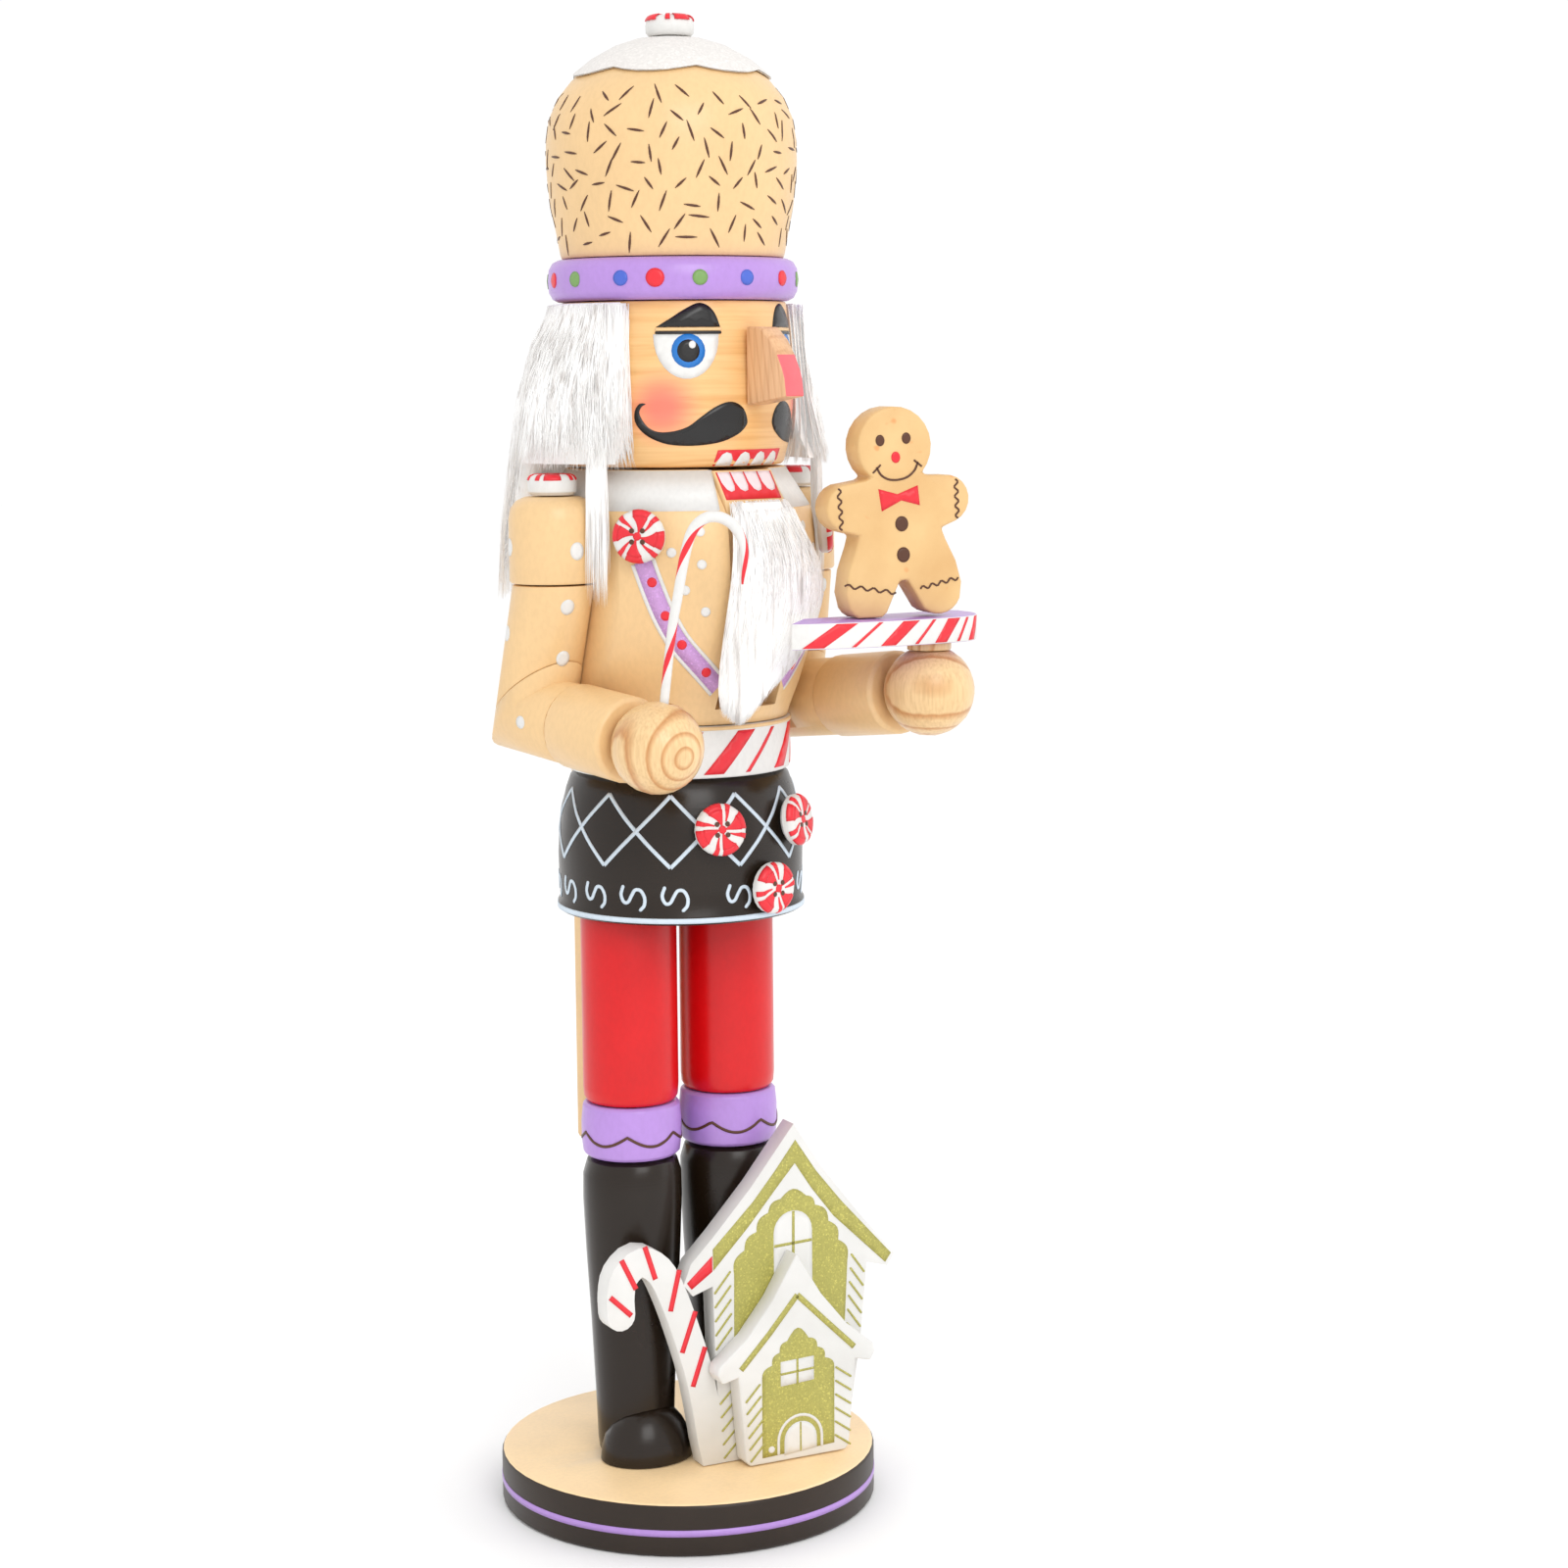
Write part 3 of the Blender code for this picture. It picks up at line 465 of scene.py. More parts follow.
def arc(centre, radius, start, end, steps):
    points = []
    for k in range(steps + 1):
        turn = math.radians(start + (end - start) * k / steps)
        points.append(
            (centre[0] + radius * math.cos(turn), centre[1] + radius * math.sin(turn))
        )
    return points


def curve(points, closed=False, steps=6):
    """A Catmull-Rom curve through the points."""
    spots = [Vector(p) for p in points]
    if closed:
        spots = [spots[-1]] + spots + spots[:2]
    else:
        spots = [2 * spots[0] - spots[1]] + spots + [2 * spots[-1] - spots[-2]]
    path = []
    for k in range(1, len(spots) - 2):
        a, b, c, d = spots[k - 1: k + 3]
        for j in range(steps):
            t = j / steps
            path.append(
                0.5 * (2 * b + (c - a) * t + (2 * a - 5 * b + 4 * c - d) * t * t
                       + (3 * b - a - 3 * c + d) * t ** 3)
            )
    if not closed:
        path.append(spots[-2])
    return [tuple(p) for p in path]


def divided(points, step, closed):
    """The same line with no piece longer than step."""
    found = []
    ends = points[1:] + points[:1] if closed else points[1:]
    for start, end in zip(points, ends):
        count = max(1, math.ceil((Vector(end) - Vector(start)).length / step))
        for j in range(count):
            found.append(tuple(Vector(start).lerp(Vector(end), j / count)))
    if not closed:
        found.append(points[-1])
    return found


def inside(point, outline):
    found = False
    x, y = point
    for (ax, ay), (bx, by) in zip(outline, outline[1:] + outline[:1]):
        if (ay > y) != (by > y) and x < (bx - ax) * (y - ay) / (by - ay) + ax:
            found = not found
    return found


def patch(surface, outline, lift=LIFT, step=1.6):
    """An outline in (u, v) filled with triangles that follow the surface."""
    unit = surface.unit(sum(v for u, v in outline) / len(outline))
    flat = divided([(u * unit, v) for u, v in outline], step, True)
    low_x, high_x = min(x for x, y in flat), max(x for x, y in flat)
    low_y, high_y = min(y for x, y in flat), max(y for x, y in flat)
    spots = list(flat)
    for i in range(1, int((high_x - low_x) / step) + 1):
        for j in range(1, int((high_y - low_y) / step) + 1):
            spot = (low_x + i * step, low_y + (j + 0.5 * (i % 2)) * step)
            near = min((spot[0] - x) ** 2 + (spot[1] - y) ** 2 for x, y in flat)
            if near > (0.5 * step) ** 2 and inside(spot, flat):
                spots.append(spot)
    found = delaunay_2d_cdt([Vector(p) for p in spots], [], [list(range(len(flat)))], 1, 1e-6)
    return [surface.at(p.x / unit, p.y, lift) for p in found[0]], [tuple(f) for f in found[2]]


def stroke(surface, path, width, lift=LINE_LIFT, step=0.8, round_ends=True):
    """A brush line of that width along (u, v) points."""
    unit = surface.unit(sum(v for u, v in path) / len(path))
    line = [Vector(p) for p in divided([(u * unit, v) for u, v in path], step, False)]
    ways = [way_at(line, k) for k in range(len(line))]
    rows = [(point, way, 0.5 * width) for point, way in zip(line, ways)]
    if round_ends:
        for share in (0.5, 0.86, 1.0):
            half = 0.5 * width * math.sqrt(max(1 - share * share, 0.02))
            rows.insert(0, (line[0] - ways[0] * 0.5 * width * share, ways[0], half))
            rows.append((line[-1] + ways[-1] * 0.5 * width * share, ways[-1], half))
    verts = []
    for point, way, half in rows:
        side = Vector((-way.y, way.x)) * half
        for spot in (point - side, point + side):
            verts.append(surface.at(spot.x / unit, spot.y, lift))
    return verts, strip_faces(len(rows) - 1)


def dot(surface, spot, radius, lift=LINE_LIFT, squeeze=1.0):
    """A round dot of paint."""
    unit = surface.unit(spot[1])
    verts = [surface.at(*spot, lift)]
    count = 20
    for ring in (0.55, 1.0):
        for k in range(count):
            turn = 2 * math.pi * k / count
            verts.append(
                surface.at(spot[0] + ring * radius * math.cos(turn) / unit,
                           spot[1] + ring * radius * squeeze * math.sin(turn), lift)
            )
    return verts, disc_faces(count)


def add_object(name, verts, faces, material, body="figure"):
    mesh = bpy.data.meshes.new(name)
    mesh.from_pydata([Vector(v) * MM for v in verts], [], faces)
    mesh.update()
    mesh.shade_smooth()
    mesh.materials.append(material)
    obj = placed(name, mesh)
    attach(obj, body)
    return obj


class Coat:
    """Patches of one paint on one body, gathered into one piece with a real thickness."""

    def __init__(self, name, material, body="figure"):
        self.name, self.material, self.body = name, material, body
        self.verts, self.faces = [], []

    def add(self, made):
        start = len(self.verts)
        self.verts += made[0]
        self.faces += [tuple(start + index for index in face) for face in made[1]]

    def lay(self):
        obj = add_object(self.name, self.verts, self.faces, self.material, self.body)
        thick = obj.modifiers.new("thickness", "SOLIDIFY")
        thick.thickness = SHEET * MM
        thick.offset = -1.0


# ---------------------------------------------------------------- CAD pieces with soft edges

def refined(node, material, body="figure", edge=0.3, angle=38):
    """A copy of a CAD node with its edges eased, which stands for the node."""
    source = frame["nodes"][node]
    work = bmesh.new()
    work.from_mesh(source.data)
    bmesh.ops.remove_doubles(work, verts=work.verts, dist=2e-6)
    bmesh.ops.dissolve_limit(
        work, angle_limit=math.radians(0.4), use_dissolve_boundaries=False,
        verts=work.verts, edges=work.edges
    )
    mesh = bpy.data.meshes.new(node + "_shaped")
    work.to_mesh(mesh)
    work.free()
    obj = placed(node + "_shaped", mesh)
    mesh.materials.append(material)
    mesh.shade_smooth()
    if edge:
        ease = obj.modifiers.new("eased", "BEVEL")
        ease.width = edge * MM
        ease.segments = 2
        ease.limit_method = "ANGLE"
        ease.angle_limit = math.radians(angle)
        ease.harden_normals = True
    else:
        mesh.set_sharp_from_angle(angle=math.radians(angle))
    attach(obj, body)
    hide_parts(node)
    return obj


def keep(node, material):
    """The CAD node stays and takes a finish."""
    mesh = frame["nodes"][node].data
    mesh.materials.clear()
    mesh.materials.append(material)


# ---------------------------------------------------------------- the figure's paints

tan = paint("tan_enamel", TAN, 0.3, 0.42, 0.2, 0.03)
tan_top_painted_light = paint("tan_base_top_painted_light", TAN_TOP_PAINTED_LIGHT, 0.32, 0.42)
dark = paint("dark_enamel", DARK, 0.2, 0.32, 0.35, 0.12, 0.06, 0.35)
base_dark = paint("dark_base_side", BASE_DARK, 0.3, 0.45, 0.4, 0.15, 0.0, 0.35)
red = paint("red_enamel", RED, 0.24, 0.36, 0.3, 0.06, 0.1, 0.4)
purple = paint("purple_enamel", PURPLE, 0.28, 0.4, 0.3, 0.05, 0.15)
sash_paint = glitter("sash_glitter", SASH, 0.35)
white = paint("white_enamel", WHITE, 0.34, 0.48, 0.35, 0.03)
stripe_red = paint("stripe_red", STRIPE_RED, 0.3, 0.42, 0.2, 0.06)
green = glitter("green_glitter", GREEN, 0.6)
blue = paint("eye_blue", BLUE, 0.2, 0.3, 0.1)
black = paint("brush_black", BLACK, 0.22, 0.35, 0.3, 0.15)
pink = paint("nose_pink", PINK, 0.3, 0.4, 0.2)
lines_paint = paint("pale_line", LINES, 0.4, 0.5, 0.2)
brown = paint("brown_line", BROWN, 0.4, 0.5, 0.2)
dot_green = paint("dot_green", rgb(120, 160, 90), 0.35, 0.45, 0.1)
dot_blue = paint("dot_blue", rgb(70, 100, 200), 0.35, 0.45, 0.1)
icing = sugar("icing_sugar", rgb(226, 222, 218))
skin = face_wood()
fur = fur_material()
dowel_wood = pine("dowel_pine", Vector((1, 0.1, 0)), Vector((0, 0, 232)))
nose_wood = pine("nose_pine", Vector((0.3, 0.2, 1)), Vector((0, -60, 290)), rgb(230, 182, 136),
                 rgb(217, 164, 118), 2.2)


# ---------------------------------------------------------------- base and legs

def dress_base():
    base = refined("base_disc", base_dark, edge=0.5)
    base.data.materials.append(tan_top_painted_light)
    # Upward faces take the lighter tan: painted light on the base's top
    for face in base.data.polygons:
        if face.normal.z > 0.9:
            face.material_index = 1
    wall = turned_node("base_disc", 0.5, 13.0)
    band = Coat("base_stripe", purple)
    band.add(ring_band(wall, 5.4, 7.1))
    band.lay()


def ring_band(wall, low, high, count=96):
    """A painted band right round a turned wall."""
    verts = []
    for k in range(count):
        for height in (low, high):
            verts.append(wall.at(360 * k / count, height))
    faces = []
    for k in range(count):
        n = (k + 1) % count
        faces.append((2 * k, 2 * n, 2 * n + 1, 2 * k + 1))
    return verts, faces


def middle_of(node):
    low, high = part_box(node)
    return ((low.x + high.x) / 2 / MM, (low.y + high.y) / 2 / MM)


def dress_legs():
    wave = Coat("cuff_scallops", brown)
    for word in ("right", "left"):
        refined(f"boot_{word}", dark)
        refined(f"shoe_{word}", dark, edge=0.2)
        refined(f"trouser_{word}", red)
        refined(f"cuff_{word}", purple, edge=0.2)
        x, y = middle_of(f"cuff_{word}")
        wall = turned_node(f"cuff_{word}", 94.0, 107.0, (x, y))
        wall.place = Matrix.Translation((x, y, 0))
        path = []
        for k in range(97):
            azimuth = -180 + 360 * k / 96
            part = (azimuth + (41.0 if word == "right" else 57.0)) % 60 / 60
            path.append((azimuth, 97.6 + 2.7 * (1 - math.sin(math.pi * part))))
        wave.add(stroke(wall, path, 0.7, round_ends=False))
    wave.lay()


# ---------------------------------------------------------------- skirt and belt

def dress_skirt():
    refined("skirt", dark, edge=0.3)
    wall = turned_node("skirt", 157.0, 191.5)
    pale = Coat("skirt_lattice", lines_paint)
    count = 11
    step = 360 / count
    for k in range(count):
        start = -41.7 + step * k
        if abs((start + step / 2) % 360 - 180) < 22:
            continue
        for ends in (((start, 189.0), (start + step, 171.3)), ((start, 171.3), (start + step, 189.0))):
            pale.add(stroke(wall, ends, 0.95, round_ends=False))
    seen = [-141, -121, -101, -80.3, -59.6, -39.7, -9.4, 16, 40, 60, 80, 101, 121, 141]
    for middle in seen:
        path = [(middle - 4.9, 166.3), (middle - 6.0, 164.2), (middle - 4.6, 162.4), (middle - 2.4, 162.5),
                (middle - 0.6, 164.2), (middle + 1.2, 165.6), (middle + 3.8, 165.5), (middle + 5.6, 163.8),
                (middle + 5.4, 161.8), (middle + 3.6, 160.6)]
        pale.add(stroke(wall, curve(path), 0.85))
    pale.lay()
    rim = Coat("skirt_rim_line", lines_paint)
    rim.add(arc_band(wall, 157.3, 158.6, -158, 158))
    rim.lay()


def arc_band(wall, low, high, start, end, lift=LIFT, count=80):
    """A painted band part of the way round a turned wall."""
    verts = []
    for k in range(count + 1):
        for height in (low, high):
            verts.append(wall.at(start + (end - start) * k / count, height, lift))
    return verts, strip_faces(count)


def dress_belt():
    refined("belt", white, edge=0.2)
    wall = turned_node("belt", 193.0, 205.9)
    stripes = Coat("belt_stripes", stripe_red)
    lean = 19.0
    for k in range(8):
        start = -24.8 + 45 * k
        for offset, width in ((0.0, 10.6), (23.4, 2.6)):
            low = start + offset
            outline = [(low, 194.0), (low + width, 194.0), (low + width + lean, 204.6), (low + lean, 204.6)]
            stripes.add(patch(wall, outline))
    stripes.lay()
    lip = Coat("belt_lip", tan)
    lip.add(ring_band(wall, 205.0, 205.9))
    lip.lay()


# ---------------------------------------------------------------- torso

def dress_torso():
    refined("torso", tan, edge=0.25)
    wall = turned_node("torso", 206.3, 269.3)
    collar = Coat("collar_paint", white)
    for start, end in ((-162, -18.6), (18.6, 162)):
        collar.add(arc_band(wall, 259.6, 269.2, start, end, 0.12))
    collar.lay()
    sash = Coat("sash_paint", sash_paint)
    edges = Coat("sash_edges", white)
    dots = Coat("sash_dots", stripe_red)
    for side in (-1, 1):
        path = [(-50.5, 247.5), (-46.6, 240.7), (-41.8, 233.4), (-35.7, 226.9), (-26.5, 220.6),
                (-19.0, 216.0)]
        path = curve([(side * -u, v) for u, v in path])
        sash.add(stroke(wall, path, 4.5, LIFT + 0.06, round_ends=False))
        for shift in (-1, 1):
            edges.add(stroke(wall, beside(wall, path, 2.65 * shift), 0.9, LIFT + 0.1, round_ends=False))
        for spot in ((-46.9, 242.4), (-41.8, 234.2), (-35.4, 227.0), (-24.9, 219.9)):
            dots.add(dot(wall, (side * -spot[0], spot[1]), 1.2, THIRD_COAT))
    sash.lay()
    edges.lay()
    dots.lay()
    specks = Coat("torso_dots", white)
    for spot in ((-39.1, 249.6), (-27.2, 246.6), (-33.9, 240.4), (-25.8, 235.0), (-27.6, 254.6),
                 (39.1, 249.1), (27.2, 247.1), (33.9, 240.7), (25.8, 235.6), (27.6, 254.9)):
        specks.add(dot(wall, spot, 1.2))
    for k in range(9):
        azimuth = 100 + 20 * k
        if abs(azimuth - 180) > 25:
            specks.add(dot(wall, (azimuth, 246 - 9 * (k % 3)), 1.2))
    specks.lay()


def beside(wall, path, distance):
    """The line at that distance from a path, on the same wall."""
    unit = wall.unit(path[0][1])
    line = [Vector((u * unit, v)) for u, v in path]
    found = []
    for k, point in enumerate(line):
        way = way_at(line, k)
        spot = point + Vector((-way.y, way.x)) * distance
        found.append((spot.x / unit, spot.y))
    return found


# ---------------------------------------------------------------- head and hat

def mirrored(points, middle):
    return [(2 * middle - u, v) for u, v in reversed(points)]


def dress_head():
    refined("head", skin, edge=0.3)
    wall = turned_node("head", 269.9, 310.3)
    ink = Coat("face_black", black)
    ground = Coat("face_white", white)
    ring = Coat("face_blue", blue)
    tan_line = Coat("brow_line", tan)
    red_field = Coat("upper_gum", stripe_red)
    teeth = Coat("upper_teeth", white)
    brow = curve([(-45.7, 303.9), (-38.5, 306.1), (-31.8, 308.2), (-25.0, 309.7), (-19.8, 309.0),
                  (-16.2, 306.9), (-14.0, 303.9)])
    for middle in (None, 3.3):
        def side(points):
            return points if middle is None else mirrored(points, middle)
        ink.add(patch(wall, side(brow)))
        tan_line.add(stroke(wall, side([(-45.5, 303.4), (-14.0, 303.4)]), 0.7))
        eye = [(-31.0 + 16.0 * math.cos(math.radians(t)), 302.2 + 10.8 * math.sin(math.radians(t)))
               for t in range(180, 361, 12)]
        ground.add(patch(wall, side(eye)))
        ink.add(stroke(wall, side([(-45.4, 302.6), (-14.2, 302.6)]), 0.7, SECOND_COAT))
        centre = side([(-30.2, 298.2)])[0]
        ring.add(dot(wall, centre, 4.15, LIFT + 0.05))
        ink.add(dot(wall, centre, 2.75, LIFT + 0.11))
        ground.add(dot(wall, (centre[0] + 1.9, 299.7), 0.85, LIFT + 0.18, 1.1))
    moustache = curve([(-0.2, 281.2), (-2.6, 284.0), (-7.4, 285.6), (-12.6, 285.6), (-18.5, 284.3),
                       (-24.5, 282.2), (-31.0, 279.8), (-38.3, 278.7), (-45.0, 278.6), (-49.6, 279.6),
                       (-52.6, 281.5), (-54.0, 283.4), (-52.6, 284.8), (-50.8, 285.4), (-53.6, 285.5),
                       (-56.0, 283.8), (-56.2, 281.2), (-53.0, 278.7), (-47.9, 276.9), (-40.5, 275.6),
                       (-31.5, 275.2), (-22.0, 275.4), (-12.9, 276.2), (-5.0, 277.9), (-1.2, 279.6)],
                      closed=True, steps=3)
    ink.add(patch(wall, moustache, step=1.1))
    ink.add(patch(wall, mirrored(moustache, 8.6), step=1.1))
    gum = [(-17.6, 270.1), (27.4, 270.1), (29.8, 274.0), (-15.4, 274.0)]
    red_field.add(patch(wall, gum))
    for k in range(4):
        low = -16.4 + 10.9 * k
        outline = [(low, 270.1), (low + 8.8, 270.1), (low + 9.4, 272.0)]
        outline += [(low + 8.4, 273.1), (low + 5.8, 273.5), (low + 3.4, 272.9), (low + 1.6, 271.6)]
        teeth.add(patch(wall, outline, SECOND_COAT, 1.0))
    for coat in (ink, ground, ring, tan_line, red_field, teeth):
        coat.lay()
    nose = refined("nose", nose_wood, edge=0.5, angle=30)
    nose.data.materials.append(pink)
    front = Vector((math.sin(math.radians(FACE_AZIMUTH)), -math.cos(math.radians(FACE_AZIMUTH)), 0))
    for face in nose.data.polygons:
        if face.normal.dot(front) > 0.55 and face.center.z < 298.5 * MM:
            face.material_index = 1


def dress_hat():
    refined("hat_brim", purple, edge=0.2)
    brim = turned_node("hat_brim", 310.6, 320.9)
    coats = {"red": Coat("brim_red_dots", stripe_red), "green": Coat("brim_green_dots", dot_green),
             "blue": Coat("brim_blue_dots", dot_blue)}
    seen = [-107, -87, -61, -45, -25, -2, 22]
    words = ("red", "green", "blue")
    for k in range(17):
        azimuth = seen[k] if k < len(seen) else 22 + 21.0 * (k - 6)
        big = 2.3 if azimuth == -45 else 1.9
        coats[words[k % 3]].add(dot(brim, (azimuth, 315.8), big))
    for coat in coats.values():
        coat.lay()
    refined("hat_crown", tan, edge=0.2)
    crown = turned_node("hat_crown", 321.2, 374.0)
    dashes = Coat("crown_dashes", brown)
    rows = 9
    for row in range(rows):
        height = 325.5 + 4.2 * row
        count = round(2 * math.pi * crown.radius(height) / 7.3)
        for k in range(count):
            azimuth = 360 * (k + 0.5 * (row % 2)) / count + random.uniform(-3, 3)
            spot = height + random.uniform(-1.2, 1.2)
            lean = random.uniform(0, math.pi)
            half = random.uniform(1.7, 2.7)
            across = half * math.cos(lean) / crown.unit(spot)
            up = half * math.sin(lean)
            ends = [(azimuth - across, spot - up), (azimuth, spot), (azimuth + across, spot + up)]
            dashes.add(spindle(crown, ends, 0.6))
    dashes.lay()
    refined("hat_icing", icing, edge=0.45, angle=30)
    refined("hat_button", white, edge=0.2)
    face, radius = disc_face("hat_button", UP)
    side_marks = Coat("hat_button_marks", stripe_red)
    for k in range(4):
        for start, spread in ((90 * k - 4, 42), (90 * k + 48, 12)):
            side_marks.add(sweet_edge(face, radius, start, spread))
    side_marks.lay()
    swirl("hat_button_swirl", face, radius - SWEET_RIM, -20.0)


def spindle(surface, ends, width):
    """A short brush mark, thick in its middle and fine at both ends."""
    unit = surface.unit(ends[1][1])
    line = [Vector((u * unit, v)) for u, v in ends]
    way = (line[2] - line[0]).normalized()
    side = Vector((-way.y, way.x)) * 0.5 * width
    verts = []
    for share, half in ((0.0, 0.15), (0.25, 0.85), (0.5, 1.0), (0.8, 0.7), (1.0, 0.15)):
        spot = line[0].lerp(line[2], share)
        for end in (spot - side * half, spot + side * half):
            verts.append(surface.at(end.x / unit, end.y))
    return verts, strip_faces(4)


# ---------------------------------------------------------------- sweet-like buttons

def swirl(name, face, radius, turn, holes=False):
    """Four broad wedges and four fine lines curling out from the middle of a sweet."""
    marks = Coat(name, stripe_red)
    for k in range(4):
        for start, spread, inner in ((90 * k, 46, 0.6), (90 * k + 52, 13, 2.2)):
            verts = []
            steps = 6
            for i in range(steps + 1):
                reach = inner + (radius - inner) * i / steps
                bend = turn + start + 16 * reach / radius
                wide = spread * (0.45 + 0.55 * reach / radius)
                for j in range(5):
                    angle = math.radians(bend - wide / 2 + wide * j / 4)
                    verts.append(face.at(reach * math.cos(angle), reach * math.sin(angle), LIFT))
            marks.add((verts, grid_faces(steps, 4)))
    marks.add(dot(face, (0, 0), 1.0, LIFT + 0.02))
    marks.lay()
    if not holes:
        return
    pits = Coat(name + "_holes", brown)
    for k in range(4):
        angle = math.radians(45 + 90 * k)
        pits.add(dot(face, (1.9 * math.cos(angle), 1.9 * math.sin(angle)), 0.62, LIFT + 0.06))
    pits.lay()


def dress_buttons():
    places = []
    for side, word in ((-1, "right"), (1, "left")):
        places.append((f"chest_button_{word}", wall_point(side * 51, 1, 0.06), 25.0 * side))
        places.append((f"shoulder_button_{word}", UP, 40.0))
    places.append(("skirt_button_right", wall_point(-20, 1, 0.14), 5.0))
    places.append(("skirt_button_left", wall_point(24, 1, 0.14), 50.0))
    places.append(("skirt_button_middle", wall_point(6, 1, 0), 30.0))
    for node, out, turn in places:
        refined(node, white, edge=0.0)
        face, radius = disc_face(node, out)
        sewn = not node.startswith("shoulder")
        swirl(node + "_swirl", face, radius - SWEET_RIM, turn, sewn)
        edge_marks = Coat(node + "_edge", stripe_red)
        for k in range(4):
            for start, spread in ((90 * k + 16, 42), (90 * k + 68, 12)):
                edge_marks.add(sweet_edge(face, radius, turn + start, spread))
        edge_marks.lay()


def sweet_edge(face, radius, azimuth, spread):
    """A wedge's outer end, which runs over the rounded rim of a button."""
    rim = ((radius - SWEET_RIM, 0.0), (radius - 0.95, -0.2), (radius - 0.5, -0.5), (radius - 0.15, -1.0),
           (radius, -1.5))
    verts = []
    for reach, depth in rim:
        for j in range(5):
            angle = math.radians(azimuth - spread / 2 + spread * j / 4)
            lift = LIFT if depth > -0.1 else LIFT * 0.8
            out = reach + (0.0 if depth > -0.1 else LIFT * 0.8)
            verts.append(face.at(out * math.cos(angle), out * math.sin(angle), depth + lift))
    return verts, grid_faces(len(rim) - 1, 4)


# ---------------------------------------------------------------- arms and hands

def along(start, end):
    start = Vector(start)
    turn = (Vector(end) - start).to_track_quat("Z", "Y").to_matrix().to_4x4()
    return Matrix.Translation(start) @ turn


def dress_arms():
    specks = Coat("arm_dots", white)
    for side, word in ((-1, "right"), (1, "left")):
        for part in ("shoulder_cap", "upper_arm", "forearm"):
            refined(f"{part}_{word}", tan, edge=0.3)
        refined(f"sleeve_{word}", tan, edge=0.4)
        low, high = box_mm(f"shoulder_cap_{word}")
        x = (low.x + CAP_RADIUS) if side < 0 else (high.x - CAP_RADIUS)
        cap = Turned([(240, CAP_RADIUS), (260, CAP_RADIUS)], Matrix.Translation((x, 0, 0)))
        for azimuth, height in ((-2.5, 250.0), (-111, 250.8), (175, 250.0), (100, 253.0)):
            specks.add(dot(cap, (-side * azimuth, height), 1.9, squeeze=1.15))
        top = Vector((x, 0, 241.4))
        elbow = Vector((x, 9.0, 208.4)) if side < 0 else Vector((x, 4.0, 207.0))
        down = (elbow - top).normalized()
        for azimuth, drop in ((-12, 2.6), (-8, 15.9), (-111, 13.4), (160, 6.0), (140, 20.0)):
            turn = math.radians(-side * azimuth)
            radial = Vector((math.sin(turn), -math.cos(turn), 0))
            radial = (radial - down * radial.dot(down)).normalized()
            centre = top + down * drop
            specks.add(rod_dot(centre, down, radial, ARM_RADIUS, 1.8))
        fore = Vector((0, -50.9, -4.0 if side < 0 else 6.6)).normalized()
        outward = Vector((side, 0, 0))
        outward = (outward - fore * outward.dot(fore)).normalized()
        specks.add(rod_dot(elbow + fore * 8.0, fore, outward, ARM_RADIUS, 1.6))
    specks.lay()
    for word in ("right", "left"):
        node = f"hand_{word}"
        low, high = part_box(node)
        centre = (low + high) / 2 / MM
        axis = Vector((0.15, 1, 0.25)) if word == "right" else Vector((0.1, 0.15, 1))
        wood = pine(f"hand_pine_{word}", axis, centre + Vector((2.0, 0, 2.0)), spacing=3.1)
        refined(node, wood, edge=0.25)
    refined("tray_peg", dowel_wood, edge=0.2)
    for name in ("arm_dowel", "neck_dowel"):
        for word in ("right", "left"):
            keep(f"{name}_{word}", dowel_wood)
    keep("jaw_pivot_pin", dowel_wood)


def rod_dot(centre, axis, radial, rod, radius):
    """A round dot of paint on a straight rod."""
    side = axis.cross(radial)
    verts = []
    count = 20
    for ring in (0.0, 0.55, 1.0):
        for k in range(count if ring else 1):
            turn = 2 * math.pi * k / count
            around = ring * radius * math.cos(turn) / rod
            out = radial * math.cos(around) + side * math.sin(around)
            verts.append(centre + axis * ring * radius * 1.1 * math.sin(turn) + out * (rod + LIFT))
    faces = disc_faces(count)
    normal = (verts[1 + 5] - verts[0]).cross(verts[1 + 10] - verts[0])
    if normal.dot(radial) < 0:
        faces = [tuple(reversed(face)) for face in faces]
    return verts, faces


# ---------------------------------------------------------------- staff, tray, gingerbread

